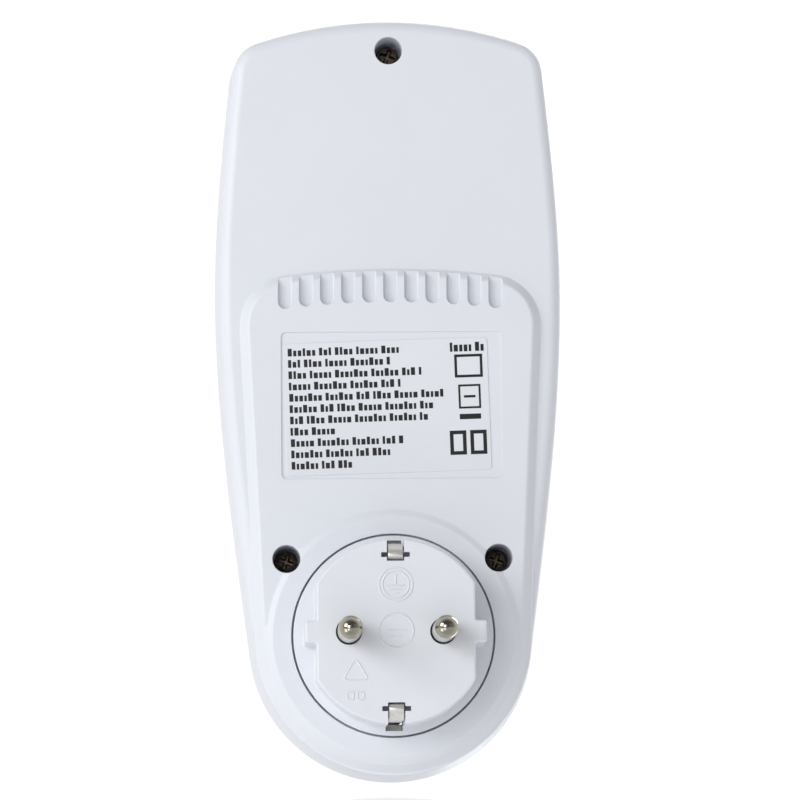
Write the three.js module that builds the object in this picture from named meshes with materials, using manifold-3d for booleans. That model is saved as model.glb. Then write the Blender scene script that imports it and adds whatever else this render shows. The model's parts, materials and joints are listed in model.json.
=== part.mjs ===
// A plug-in power meter: a two-shell case with a plug on its wall side and a socket, display and keys on
// its room side. Millimetres. X is across the case, +Y points into the wall outlet, and Z is up. The
// origin is the centre of the plug's end face, midway between its pins.

import * as THREE from "three";
import { mergeVertices } from "three/addons/utils/BufferGeometryUtils.js";
import Module from "manifold-3d";

const wasm = await Module();
wasm.setup();

// ---------------------------------------------------------------------------------------------------
// Driving dimensions
// ---------------------------------------------------------------------------------------------------

const GAP = 0.3; // between fixed pieces that touch
const RUNNING_GAP = 0.25; // round a key in its hole
const WALL = 2.2;
const CURVE_STEPS = 8; // straight steps along each curve of an outline that shows
const INNER_CURVE_STEPS = 5; // and of one that is out of sight

const CASE_BOTTOM_RADIUS = 29.6; // round the plug's axis
const CASE_TAPER = THREE.MathUtils.degToRad(7.5); // of each side where it leaves the round bottom
const CASE_HALF_WIDTH = 36.3;
const CASE_WIDEST_Z = 72;
const CASE_SHOULDER = { x: 33.2, z: 117.2 };
const CASE_TOP_Z = 129;
const CASE_CROWN_RADIUS = 87;
const CASE_CROWN_HALF_CHORD = 27.5;
const CASE_CORNER = { x: 32.6, z: 122.9 }; // where the side and the crown would meet
const CASE_CORNER_FULLNESS = 0.66;
const CASE_HANDLES = { low: 33, belowWidest: 22, aboveWidest: 16, shoulder: { x: 1.4, z: -14 } };

// Levels along Y, from the wall side to the room side
const COLLAR_Y = -17.2;
const PAD_Y = -18;
const PANEL_Y = -20;
const PARTING_Y = -38;
const FRONT_Y = -58;
const FRONT_INNER_Y = FRONT_Y + WALL;
const REAR_EDGE_RADIUS = 2.8;
const FRONT_EDGE_RADIUS = 4;
const DRAFT = Math.tan(THREE.MathUtils.degToRad(3.6)); // of both shells' sides, away from the parting line
const HOLLOW_INSET = 2.9; // from the widest outline to the inside of the sides

const PAD_RADIUS = 26.3; // the raised pad's top edge where it runs round the plug
const PAD_TAPER = THREE.MathUtils.degToRad(2.75);
const PAD_CROWN_RADIUS = 180;
const PAD_TOP_Z = 74.3;
const PAD_CORNER = { x: 29.8, z: 71.8 };
const PAD_CORNER_RUN = 8.3;
const PAD_CORNER_BULGE = 0.58;
const PAD_SLOPE = 1.7;
const COLLAR_RADIUS = 24.7;
const PLUG_OPENING_RADIUS = 20.9;

const VENT_COUNT = 11;
const VENT_PITCH = 4.35;
const VENT_WIDTH = 2.9;
const VENT_DEPTH = 1.4;
const VENT_BOTTOM_Z = 68.9;

const LABEL = { width: 42.2, height: 27.4, x: 0.9, z: 47.2, thickness: 0.15, turnDegrees: 1.7 };
const LABEL_RECESS = { width: 45.3, height: 30.3, z: 47.5, depth: 0.5 };

const SCREW_PLACES = [
  { name: "case_screw_top", x: 0, z: 121.7 },
  { name: "case_screw_left", x: 21.8, z: 15.9 },
  { name: "case_screw_right", x: -21.8, z: 15.9 },
];
const SCREW_WELL_RADIUS = 2.85;
const SCREW_WELL_FLOOR_Y = -31;
const SCREW_BOSS_RADIUS = 4.5;
const SCREW_HOLE_RADIUS = 1.7;
const FRONT_BOSS_RADIUS = 3.6;
const FRONT_BOSS_BACK_Y = -33.6;

const BOSS_HEIGHT = 17;
const BOSS_RADIUS = 18.7;
const BOSS_HALF_FLAT = 16;
const RIB = { x: 18.3, halfWidth: 2.2 };
const PLUG_DISC_RADIUS = 20.5;
const PLUG_DISC_BACK_Y = -19.5;
const PLUG_FLANGE_RADIUS = 22;
const PLUG_FLANGE_BACK_Y = -21.2;

const PIN_X = 9.5; // pins are 19 mm apart
const PIN_RADIUS = 2.4;
const PIN_LENGTH = 19;
const PIN_TAIL_Y = -20.2;
const PIN_FLANGE = { radius: 4, thickness: 1.6 };
const STRAP_ROOM = 2.8; // each side of a pin's axis, behind the plug's base

const EARTH_STRIP = { width: 3, thickness: 0.8, z: 17.4, hookZ: 14.95, faceY: -0.65 };
const EARTH_BEND = { y: -2.2, z: 16.1 }; // where the strip slopes from the end face to the boss's side
const EARTH_CLIP = [[-48, 16.4], [-53, 18.2]]; // its sprung end in the socket, as y and z
const EARTH_WINGS = { halfWidth: 2.9, z: [15, 16] };
const EARTH_SLOT_DEPTH = 4;

const WELL_RADIUS = 19.5;
const WELL_OUTER_RADIUS = 21.3;
const WELL_FLOOR_Y = -40.7;
const WELL_BACK_Y = -38.2;
const WELL_FLANGE_RADIUS = 23;
const WELL_OPENING_RADIUS = 21.6;
const PIN_HOLE_RADIUS = 3;

const CARRIER_RADIUS = 18.5;
const CARRIER_BACK_Y = -22.6;
const CARRIER_FRONT_Y = -35.5;
const CARRIER_SCREW_Z = 12.5;

const SHUTTER_Y = [-36.1, -37.7];
const SHUTTER_POST_RADIUS = 2;
const SHUTTER_VANE = { inner: 3.4, outer: 13.4, halfAngle: THREE.MathUtils.degToRad(22) };

const DISPLAY_Z = 93;
const WINDOW = { width: 46, height: 31 };
const DISPLAY_RECESS = { width: 58, height: 42, corner: 4, depth: 0.6 };
const LCD = { width: 48, height: 33, backY: -52 };
const DISPLAY_BOARD = { backY: -46, frontY: -47.6, halfWidth: 27.5, z: [34, 115.4] };
const MAINS_BOARD = { backY: -30, frontY: -31.6, halfWidth: 26, z: [27, 97] };

const KEY_Z = 55;
const KEY_PITCH = 13;
const KEY_CAP = { width: 9.5, height: 6.5, radius: 2.2, topY: -59 };
const RESET_Z = 40.5;
const RESET = { radius: 1.6, topY: -57.4 };
const SWITCH_SIZE = 6;
const SWITCH_FRONT_Y = -51.3;
const PLUNGER = { radius: 1.6, frontY: -52.4, backY: -50.2 };
const KEY_NAMES = ["function", "up", "down", "cost"];

const DISPLAY_POSTS = [
  [24.5, 38],
  [24.5, 68.5],
];
const MAINS_POSTS = [
  [22.5, 32],
  [22.5, 92],
];
const POST_RADIUS = 2.9;
const POST_HOLE_RADIUS = 1.4;

// ---------------------------------------------------------------------------------------------------
// Finishes
// ---------------------------------------------------------------------------------------------------

const finish = (color, roughness, metalness) => ({ color, roughness, metalness });

const WHITE_PLASTIC = finish(0xe6e9ee, 0.42, 0);
const GREY_PLASTIC = finish(0x8f949b, 0.5, 0);
const DARK_PLASTIC = finish(0x24262a, 0.5, 0);
const NICKEL = finish(0xc9c8c4, 0.22, 1);
const BRASS = finish(0xc8a65a, 0.3, 1);
const SPRING_STEEL = finish(0xaeb0b4, 0.3, 1);
const DARK_SCREW = finish(0x3a3835, 0.4, 1);
const LABEL_FILM = finish(0xe9ecf1, 0.2, 0);
const CLEAR_WINDOW = finish(0xdfe6ea, 0.08, 0);
const LCD_GREEN = finish(0xa8b39a, 0.2, 0);
const RUBBER = finish(0x33363b, 0.8, 0);
const BOARD_GREEN = finish(0x1f6b3c, 0.45, 0);
const CAPACITOR_YELLOW = finish(0xd9a520, 0.45, 0);
const CAN_BLUE = finish(0x23406e, 0.35, 0);
const CERAMIC = finish(0xe9e4d8, 0.35, 0);
const MANGANIN = finish(0xa07a5c, 0.35, 1);

// ---------------------------------------------------------------------------------------------------
// Solids
// ---------------------------------------------------------------------------------------------------

// A closed three.js geometry as a solid that can be joined and cut.
function solidOf(geometry) {
  const bare = geometry.clone();
  bare.deleteAttribute("normal");
  bare.deleteAttribute("uv");
  const merged = mergeVertices(bare, 1e-4);
  const corners = merged.index.array;
  const kept = [];
  for (let i = 0; i < corners.length; i += 3) {
    const [a, b, c] = [corners[i], corners[i + 1], corners[i + 2]];
    if (a !== b && b !== c && c !== a) kept.push(a, b, c);
  }
  const vertProperties = new Float32Array(merged.attributes.position.array);
  const triVerts = new Uint32Array(kept);
  return new wasm.Manifold(new wasm.Mesh({ numProp: 3, vertProperties, triVerts }));
}

function geometryOf(solid) {
  const mesh = solid.getMesh();
  const geometry = new THREE.BufferGeometry();
  geometry.setAttribute("position", new THREE.BufferAttribute(mesh.vertProperties, 3));
  geometry.setIndex(new THREE.BufferAttribute(mesh.triVerts, 1));
  geometry.computeVertexNormals();
  return geometry;
}

const join = (first, ...others) => others.reduce((sum, solid) => sum.add(solid), first);
const cut = (first, ...tools) => tools.reduce((rest, tool) => rest.subtract(tool), first);

// A box between two values on each axis.
function box([x0, x1], [y0, y1], [z0, z1]) {
  const geometry = new THREE.BoxGeometry(Math.abs(x1 - x0), Math.abs(y1 - y0), Math.abs(z1 - z0));
  geometry.translate((x0 + x1) / 2, (y0 + y1) / 2, (z0 + z1) / 2);
  return solidOf(geometry);
}

// A round bar along Y. Its far end can have another radius.
function rod(radius, [backY, frontY], x = 0, z = 0, segments = 24, frontRadius = radius) {
  const geometry = new THREE.CylinderGeometry(radius, frontRadius, backY - frontY, segments);
  geometry.translate(x, (backY + frontY) / 2, z);
  return solidOf(geometry);
}

// Lays a geometry that was extruded along its own +Z so that it runs from backY towards -Y, with the
// drawing's x and y as X and Z.
function layBack(geometry, backY) {
  geometry.rotateX(Math.PI / 2);
  geometry.translate(0, backY, 0);
  return solidOf(geometry);
}

function prism(shape, [backY, frontY], curveSegments = CURVE_STEPS) {
  const depth = backY - frontY;
  return layBack(new THREE.ExtrudeGeometry(shape, { depth, bevelEnabled: false, curveSegments }), backY);
}

// A prism whose two ends are rounded, or chamfered with one bevel segment. The shape is its widest outline.
function roundedPrism(shape, [backY, frontY], radius, bevelSegments, curveSegments = CURVE_STEPS) {
  const geometry = new THREE.ExtrudeGeometry(shape, {
    depth: backY - frontY - 2 * radius,
    bevelThickness: radius,
    bevelSize: radius,
    bevelOffset: -radius,
    bevelSegments,
    curveSegments,
  });
  return layBack(geometry, backY - radius);
}

// Draws the sides of a case block in, away from the parting line, by the draft. Each level is scaled about
// the case's centre, so that the sides, top and bottom all move in by the same amount.
function drafted(solid) {
  const centreZ = (CASE_TOP_Z - CASE_BOTTOM_RADIUS) / 2;
  const halfHeight = (CASE_TOP_Z + CASE_BOTTOM_RADIUS) / 2;
  return solid.warp((vertex) => {
    const inset = Math.abs(vertex[1] - PARTING_Y) * DRAFT;
    vertex[0] *= 1 - inset / CASE_HALF_WIDTH;
    vertex[2] = centreZ + (vertex[2] - centreZ) * (1 - inset / halfHeight);
  });
}

// The same outline moved inwards by a distance, or outwards by a negative one.
function insetShape(shape, inset, divisions = INNER_CURVE_STEPS) {
  const points = shape.getPoints(divisions);
  const unique = points.filter((p, i) => p.distanceTo(points[(i + 1) % points.length]) > 1e-6);
  const turnsLeft = !THREE.ShapeUtils.isClockWise(unique);
  const moved = unique.map((point, i) => {
    const before = unique[(i + unique.length - 1) % unique.length];
    const after = unique[(i + 1) % unique.length];
    const into = new THREE.Vector2().subVectors(point, before).normalize();
    const out = new THREE.Vector2().subVectors(after, point).normalize();
    const along = into.clone().add(out).normalize();
    const inward = new THREE.Vector2(-along.y, along.x).multiplyScalar(turnsLeft ? 1 : -1);
    const miter = Math.sqrt((1 + into.dot(out)) / 2);
    return point.clone().addScaledVector(inward, inset / miter);
  });
  return new THREE.Shape(moved);
}

function rectangle(width, height, radius, x = 0, z = 0) {
  const [left, right] = [x - width / 2, x + width / 2];
  const [low, high] = [z - height / 2, z + height / 2];
  const shape = new THREE.Shape();
  shape.moveTo(left + radius, low);
  shape.lineTo(right - radius, low);
  shape.absarc(right - radius, low + radius, radius, -Math.PI / 2, 0, false);
  shape.lineTo(right, high - radius);
  shape.absarc(right - radius, high - radius, radius, 0, Math.PI / 2, false);
  shape.lineTo(left + radius, high);
  shape.absarc(left + radius, high - radius, radius, Math.PI / 2, Math.PI, false);
  shape.lineTo(left, low + radius);
  shape.absarc(left + radius, low + radius, radius, Math.PI, 1.5 * Math.PI, false);
  return shape;
}

// A bent metal strip: a line in the YZ plane given a thickness, and a width across X.
function bentStrip(points, thickness, [x0, x1]) {
  const line = points.map(([y, z]) => new THREE.Vector2(y, z));
  const sides = line.map((point, i) => {
    const into = line[Math.max(i, 1)].clone().sub(line[Math.max(i, 1) - 1]).normalize();
    const next = Math.min(i + 1, line.length - 1);
    const out = line[next].clone().sub(line[next - 1]).normalize();
    const along = into.clone().add(out).normalize();
    const miter = Math.sqrt((1 + into.dot(out)) / 2);
    const across = new THREE.Vector2(-along.y, along.x).multiplyScalar(thickness / 2 / miter);
    return { left: point.clone().add(across), right: point.clone().sub(across) };
  });
  const outline = [...sides.map((s) => s.left), ...sides.map((s) => s.right).reverse()];
  const geometry = new THREE.ExtrudeGeometry(new THREE.Shape(outline), {
    depth: x1 - x0,
    bevelEnabled: false,
  });
  // The drawing's x and y become Y and Z, and its depth becomes X.
  geometry.rotateX(Math.PI / 2);
  geometry.rotateZ(Math.PI / 2);
  geometry.translate(x0, 0, 0);
  return solidOf(geometry);
}

const model = new THREE.Group();

function group(parent = model) {
  const child = new THREE.Group();
  parent.add(child);
  return child;
}

function addPart(parent, name, solid, { color, roughness, metalness }, place = [0, 0, 0]) {
  const material = new THREE.MeshStandardMaterial({ color, roughness, metalness });
  const mesh = new THREE.Mesh(geometryOf(solid), material);
  mesh.name = name;
  mesh.position.set(...place);
  parent.add(mesh);
}

// ---------------------------------------------------------------------------------------------------
// Outlines, drawn in X and Z
// ---------------------------------------------------------------------------------------------------

// The case from the front: a round bottom about the plug's axis, sides that swell to the widest place
// and draw in to the shoulders, tight corners and a crowned top.
function caseOutline() {
  const low = {
    x: CASE_BOTTOM_RADIUS * Math.cos(CASE_TAPER),
    z: -CASE_BOTTOM_RADIUS * Math.sin(CASE_TAPER),
  };
  const lowHandle = {
    x: low.x + CASE_HANDLES.low * Math.sin(CASE_TAPER),
    z: low.z + CASE_HANDLES.low * Math.cos(CASE_TAPER),
  };
  const widest = CASE_HALF_WIDTH;
  const widestLow = CASE_WIDEST_Z - CASE_HANDLES.belowWidest;
  const widestHigh = CASE_WIDEST_Z + CASE_HANDLES.aboveWidest;
  const shoulder = CASE_SHOULDER;
  const handle = { x: shoulder.x + CASE_HANDLES.shoulder.x, z: shoulder.z + CASE_HANDLES.shoulder.z };
  const crownAngle = Math.asin(CASE_CROWN_HALF_CHORD / CASE_CROWN_RADIUS);
  const crownCentreZ = CASE_TOP_Z - CASE_CROWN_RADIUS;
  const crown = { x: CASE_CROWN_HALF_CHORD, z: crownCentreZ + CASE_CROWN_RADIUS * Math.cos(crownAngle) };
  const towards = (from) => ({
    x: from.x + (CASE_CORNER.x - from.x) * CASE_CORNER_FULLNESS,
    z: from.z + (CASE_CORNER.z - from.z) * CASE_CORNER_FULLNESS,
  });
  const [cornerLow, cornerHigh] = [towards(shoulder), towards(crown)];

  const shape = new THREE.Shape();
  shape.moveTo(low.x, low.z);
  shape.bezierCurveTo(lowHandle.x, lowHandle.z, widest, widestLow, widest, CASE_WIDEST_Z);
  shape.bezierCurveTo(widest, widestHigh, handle.x, handle.z, shoulder.x, shoulder.z);
  shape.bezierCurveTo(cornerLow.x, cornerLow.z, cornerHigh.x, cornerHigh.z, crown.x, crown.z);
  shape.absarc(0, crownCentreZ, CASE_CROWN_RADIUS, Math.PI / 2 - crownAngle, Math.PI / 2 + crownAngle, false);
  shape.bezierCurveTo(-cornerHigh.x, cornerHigh.z, -cornerLow.x, cornerLow.z, -shoulder.x, shoulder.z);
  shape.bezierCurveTo(-handle.x, handle.z, -widest, widestHigh, -widest, CASE_WIDEST_Z);
  shape.bezierCurveTo(-widest, widestLow, -lowHandle.x, lowHandle.z, -low.x, low.z);
  shape.absarc(0, 0, CASE_BOTTOM_RADIUS, Math.PI + CASE_TAPER, 2 * Math.PI - CASE_TAPER, false);
  return shape;
}

// The raised pad's top edge: a circle round the plug, straight sides tangent to it and an arched top.
function padOutline() {
  const side = (z) => (PAD_RADIUS / Math.cos(PAD_TAPER)) + z * Math.tan(PAD_TAPER);
  const sideZ = PAD_CORNER.z - PAD_CORNER_RUN;
  const topAngle = Math.asin((PAD_CORNER.x - PAD_CORNER_RUN) / PAD_CROWN_RADIUS);
  const topCentreZ = PAD_TOP_Z - PAD_CROWN_RADIUS;
  const top = { x: PAD_CORNER.x - PAD_CORNER_RUN, z: topCentreZ + PAD_CROWN_RADIUS * Math.cos(topAngle) };
  const reach = PAD_CORNER_RUN * PAD_CORNER_BULGE;
  const sideHandle = { x: side(sideZ + reach), z: sideZ + reach };
  const topHandle = { x: top.x + reach, z: top.z - reach * Math.tan(topAngle) };

  const shape = new THREE.Shape();
  shape.moveTo(PAD_RADIUS * Math.cos(PAD_TAPER), -PAD_RADIUS * Math.sin(PAD_TAPER));
  shape.lineTo(side(sideZ), sideZ);
  shape.bezierCurveTo(sideHandle.x, sideHandle.z, topHandle.x, topHandle.z, top.x, top.z);
  shape.absarc(0, topCentreZ, PAD_CROWN_RADIUS, Math.PI / 2 - topAngle, Math.PI / 2 + topAngle, false);
  shape.bezierCurveTo(-topHandle.x, topHandle.z, -sideHandle.x, sideHandle.z, -side(sideZ), sideZ);
  shape.lineTo(-PAD_RADIUS * Math.cos(PAD_TAPER), -PAD_RADIUS * Math.sin(PAD_TAPER));
  shape.absarc(0, 0, PAD_RADIUS, Math.PI + PAD_TAPER, 2 * Math.PI - PAD_TAPER, false);
  return shape;
}

// The plug's boss: a circle with a flat on each side and a rib in the middle of each flat.
function bossOutline() {
  const flatAngle = Math.acos(BOSS_HALF_FLAT / BOSS_RADIUS);
  const shape = new THREE.Shape();
  shape.absarc(0, 0, BOSS_RADIUS, flatAngle, Math.PI - flatAngle, false);
  shape.lineTo(-BOSS_HALF_FLAT, RIB.halfWidth);
  shape.lineTo(-RIB.x, RIB.halfWidth);
  shape.lineTo(-RIB.x, -RIB.halfWidth);
  shape.lineTo(-BOSS_HALF_FLAT, -RIB.halfWidth);
  shape.absarc(0, 0, BOSS_RADIUS, Math.PI + flatAngle, 2 * Math.PI - flatAngle, false);
  shape.lineTo(BOSS_HALF_FLAT, -RIB.halfWidth);
  shape.lineTo(RIB.x, -RIB.halfWidth);
  shape.lineTo(RIB.x, RIB.halfWidth);
  shape.lineTo(BOSS_HALF_FLAT, RIB.halfWidth);
  return shape;
}

const CASE_SHAPE = caseOutline();
const PAD_SHAPE = padOutline();
const FAR = 100; // past any face, for cutting boxes

const mirrored = (places) => places.flatMap(([x, z]) => [[x, z], [-x, z]]);

// ---------------------------------------------------------------------------------------------------
// Case
// ---------------------------------------------------------------------------------------------------

function rearCover() {
  const behindParting = box([-FAR, FAR], [PARTING_Y, FAR], [-FAR, 2 * FAR]);
  const block = roundedPrism(CASE_SHAPE, [PANEL_Y, PANEL_Y - 40], REAR_EDGE_RADIUS, 3);
  const shell = drafted(block.intersect(behindParting));
  const pad = layBack(new THREE.ExtrudeGeometry(PAD_SHAPE, {
    depth: 6,
    bevelThickness: PAD_Y - PANEL_Y,
    bevelSize: PAD_SLOPE,
    bevelSegments: 1,
    curveSegments: CURVE_STEPS,
  }), PANEL_Y).intersect(box([-FAR, FAR], [PANEL_Y - 3, FAR], [-FAR, 2 * FAR]));
  const collar = rod(COLLAR_RADIUS, [COLLAR_Y, PAD_Y], 0, 0, 48, PAD_RADIUS);
  const tongue = cut(
    prism(insetShape(CASE_SHAPE, 1.25), [PARTING_Y + 3, PARTING_Y - 1.3]),
    prism(insetShape(CASE_SHAPE, WALL), [PARTING_Y + 4, PARTING_Y - 2]),
  );
  const hollow = roundedPrism(insetShape(CASE_SHAPE, HOLLOW_INSET), [PANEL_Y - WALL, PANEL_Y - 44], 2, 1);
  const padHollow = prism(insetShape(PAD_SHAPE, 2), [PAD_Y - WALL, PANEL_Y - 4]);
  const collarHollow = rod(PLUG_FLANGE_RADIUS + 1, [COLLAR_Y - 2, PANEL_Y - 4], 0, 0, 24);
  const bosses = SCREW_PLACES.map(({ x, z }) =>
    rod(SCREW_BOSS_RADIUS, [PANEL_Y, SCREW_WELL_FLOOR_Y - 2], x, z, 16));
  const posts = mirrored(MAINS_POSTS).map(([x, z]) =>
    rod(POST_RADIUS, [PAD_Y - 1, MAINS_BOARD.backY + GAP], x, z, 10));
  const topPosts = posts.map((post) => post.intersect(box([-FAR, FAR], [-FAR, PANEL_Y], [-FAR, FAR])));

  const wells = SCREW_PLACES.flatMap(({ x, z }) => [
    rod(SCREW_WELL_RADIUS, [0, SCREW_WELL_FLOOR_Y], x, z, 20),
    rod(SCREW_HOLE_RADIUS, [0, -FAR], x, z, 10),
  ]);
  const postHoles = mirrored(MAINS_POSTS).map(([x, z]) =>
    rod(POST_HOLE_RADIUS, [MAINS_BOARD.backY + 5, -FAR], x, z, 8));
  const opening = rod(PLUG_OPENING_RADIUS, [0, -FAR], 0, 0, 48);
  const recessOutline = rectangle(LABEL_RECESS.width, LABEL_RECESS.height, 1, 0, LABEL_RECESS.z);
  const labelRecess = prism(recessOutline, [0, PAD_Y - LABEL_RECESS.depth], 3);
  return cut(
    join(cut(join(shell, pad, collar), hollow, padHollow, collarHollow), tongue, ...bosses, ...topPosts),
    ...wells, ...postHoles, opening, labelRecess, ...vents());
}

// Grooves across the pad's top edge, set on an arc like the edge itself.
function vents() {
  return Array.from({ length: VENT_COUNT }, (_, i) => {
    const x = (i - (VENT_COUNT - 1) / 2) * VENT_PITCH;
    const z = VENT_BOTTOM_Z - (x * x) / (2 * PAD_CROWN_RADIUS) + VENT_WIDTH / 2;
    const shape = new THREE.Shape();
    shape.absarc(x, z, VENT_WIDTH / 2, Math.PI, 2 * Math.PI, false);
    shape.lineTo(x + VENT_WIDTH / 2, z + 9);
    shape.lineTo(x - VENT_WIDTH / 2, z + 9);
    return prism(shape, [0, PAD_Y - VENT_DEPTH], 3);
  });
}

function frontCover() {
  const rimY = PARTING_Y - GAP;
  const beforeParting = box([-FAR, FAR], [-FAR, rimY], [-FAR, 2 * FAR]);
  const block = roundedPrism(CASE_SHAPE, [FRONT_Y + 40, FRONT_Y], FRONT_EDGE_RADIUS, 3);
  const shell = drafted(block.intersect(beforeParting));
  const hollow = roundedPrism(insetShape(CASE_SHAPE, HOLLOW_INSET), [FRONT_Y + 44, FRONT_INNER_Y], 2, 1);
  const rebate = prism(insetShape(CASE_SHAPE, 0.95), [FAR, rimY - 1.4]);
  const bosses = SCREW_PLACES.map(({ x, z }) =>
    rod(FRONT_BOSS_RADIUS, [FRONT_BOSS_BACK_Y, FRONT_Y + 1], x, z, 12));
  const posts = mirrored(DISPLAY_POSTS).map(([x, z]) =>
    rod(POST_RADIUS, [DISPLAY_BOARD.frontY - GAP, FRONT_Y + 1], x, z, 10));
  const { width, height, corner, depth } = DISPLAY_RECESS;
  const recessOutline = rectangle(width, height, corner, 0, DISPLAY_Z);
  const displayRecess = roundedPrism(recessOutline, [FRONT_Y + depth, FRONT_Y - 5], 0.4, 1, 3);

  const bossHoles = SCREW_PLACES.map(({ x, z }) => rod(1.6, [0, FRONT_INNER_Y], x, z, 8));
  const postHoles = mirrored(DISPLAY_POSTS).map(([x, z]) =>
    rod(POST_HOLE_RADIUS, [0, FRONT_INNER_Y + 1], x, z, 8));
  const windowHole = prism(rectangle(WINDOW.width, WINDOW.height, 1.5, 0, DISPLAY_Z), [FRONT_Y + 5, -FAR], 3);
  const keyHoles = KEY_NAMES.map((_, i) => {
    const [holeWidth, holeHeight] = [KEY_CAP.width + 2 * RUNNING_GAP, KEY_CAP.height + 2 * RUNNING_GAP];
    return prism(rectangle(holeWidth, holeHeight, KEY_CAP.radius, keyX(i), KEY_Z), [FRONT_Y + 5, -FAR], 3);
  });
  const resetHole = rod(RESET.radius + RUNNING_GAP, [FRONT_Y + 5, -FAR], 0, RESET_Z, 16);
  const socketHole = rod(WELL_OPENING_RADIUS, [FRONT_Y + 5, -FAR], 0, 0, 48);
  return cut(join(cut(shell, hollow, rebate), ...bosses, ...posts),
    displayRecess, ...bossHoles, ...postHoles, windowHole, ...keyHoles, resetHole, socketHole);
}

// A pan-head screw along Y. Its head's outer face is at y 0 and its shank runs towards -Y.
function panScrew(headRadius, headHeight, shankRadius, shankLength, crossWidth) {
  const head = rod(headRadius, [0, -headHeight], 0, 0, 14);
  const shank = rod(shankRadius, [-headHeight + 0.01, -headHeight - shankLength], 0, 0, 8);
  const arm = headRadius * 0.6;
  const cross = join(
    box([-arm, arm], [-headHeight * 0.6, 1], [-crossWidth / 2, crossWidth / 2]),
    box([-crossWidth / 2, crossWidth / 2], [-headHeight * 0.6, 1], [-arm, arm]),
  );
  return cut(join(head, shank), cross);
}

function addCase() {
  const parts = group();
  addPart(parts, "rear_cover", rearCover(), WHITE_PLASTIC);
  addPart(parts, "front_cover", frontCover(), WHITE_PLASTIC);
  const headHeight = 2.2;
  for (const { name, x, z } of SCREW_PLACES) {
    const screw = panScrew(2.5, headHeight, 1.35, 15, 0.8);
    addPart(parts, name, screw, DARK_SCREW, [x, SCREW_WELL_FLOOR_Y + GAP + headHeight, z]);
  }
  const film = prism(rectangle(LABEL.width, LABEL.height, 0.8), [LABEL.thickness, 0], 3);
  const turned = film.rotate([0, LABEL.turnDegrees, 0]);
  addPart(parts, "rating_label", turned, LABEL_FILM, [LABEL.x, PAD_Y - LABEL_RECESS.depth + GAP, LABEL.z]);
}

// ---------------------------------------------------------------------------------------------------
// Plug
// ---------------------------------------------------------------------------------------------------

function plugBase() {
  const boss = roundedPrism(bossOutline(), [0, -BOSS_HEIGHT - 2], 0.5, 1, 10)
    .intersect(box([-FAR, FAR], [-BOSS_HEIGHT - 0.5, FAR], [-FAR, FAR]));
  const disc = rod(PLUG_DISC_RADIUS, [-BOSS_HEIGHT, PLUG_DISC_BACK_Y], 0, 0, 48);
  const flange = rod(PLUG_FLANGE_RADIUS, [PLUG_DISC_BACK_Y + 0.01, PLUG_FLANGE_BACK_Y], 0, 0, 32);
  const cuts = [];
  for (const side of [-1, 1]) {
    const x = side * PIN_X;
    const flangeTop = PIN_TAIL_Y + PIN_FLANGE.thickness + GAP;
    cuts.push(rod(PIN_RADIUS + GAP, [FAR, -FAR], x, 0, 16));
    cuts.push(rod(PIN_FLANGE.radius + GAP, [flangeTop, -FAR], x, 0, 16));
    cuts.push(box([x - STRAP_ROOM, x + STRAP_ROOM], [PIN_TAIL_Y, -FAR], [-STRAP_ROOM, FAR]));
    cuts.push(...earthCuts(side));
  }
  return cut(join(boss, disc, flange), ...cuts);
}

// The channel that an earth strip lies in, and the stepped slot in the plug's end face for its hooked end.
// The lower side is the upper one's mirror image.
function earthCuts(side) {
  const span = (z0, z1) => [side * z0, side * z1];
  const halfWidth = EARTH_STRIP.width / 2 + GAP;
  const underBend = EARTH_BEND.y - GAP;
  return [
    box([-halfWidth, halfWidth], [1, -FAR], span(EARTH_STRIP.z - 0.7, 19.5)),
    box([-halfWidth, halfWidth], [1, underBend], span(14.2, 17)),
    box([-halfWidth, halfWidth], [1, -EARTH_SLOT_DEPTH], span(14.2, 15.7)),
    box([-EARTH_WINGS.halfWidth, EARTH_WINGS.halfWidth], [1, -EARTH_SLOT_DEPTH], span(...EARTH_WINGS.z)),
  ];
}

function pin() {
  const flangeTop = PIN_TAIL_Y + PIN_FLANGE.thickness;
  const profile = [
    new THREE.Vector2(0, PIN_TAIL_Y),
    new THREE.Vector2(PIN_FLANGE.radius, PIN_TAIL_Y),
    new THREE.Vector2(PIN_FLANGE.radius, flangeTop),
    new THREE.Vector2(PIN_RADIUS, flangeTop),
  ];
  const tipSteps = 4;
  for (let i = 0; i <= tipSteps; i += 1) {
    const angle = (i / tipSteps) * (Math.PI / 2);
    const radius = i === tipSteps ? 0 : PIN_RADIUS * Math.cos(angle);
    profile.push(new THREE.Vector2(radius, PIN_LENGTH - PIN_RADIUS + PIN_RADIUS * Math.sin(angle)));
  }
  return solidOf(new THREE.LatheGeometry(profile, 16));
}

// A flat strap from a pin's tail up to the mains board, bent towards the board at its upper end.
function pinStrap(side) {
  const thickness = 0.6;
  const topZ = 30;
  const padTopZ = 4.1;
  const [padInner, inner, outer] = [7, 9.3, 12].map((x) => side * x);
  const y = [PIN_TAIL_Y - GAP, PIN_TAIL_Y - GAP - thickness];
  return join(
    box([padInner, outer], y, [-2.5, padTopZ]),
    box([inner, outer], y, [padTopZ - 0.1, topZ]),
    box([inner, outer], [y[0], MAINS_BOARD.backY + GAP], [topZ - thickness, topZ]),
  );
}

// The earth strip: hooked over the plug's end face, along the boss and through the carrier to the sprung
// clip in the socket. Its points are given as y and z.
function earthStrip(side) {
  const { thickness, width, z, hookZ, faceY } = EARTH_STRIP;
  const hook = [[-EARTH_SLOT_DEPTH + GAP, hookZ], [faceY, hookZ], [faceY, EARTH_BEND.z]];
  const run = [[EARTH_BEND.y, z], [WELL_FLOOR_Y - 1, z]];
  const path = [...hook, ...run, ...EARTH_CLIP].map(([y, height]) => [y, side * height]);
  return bentStrip(path, thickness, [-width / 2, width / 2]);
}

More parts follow.
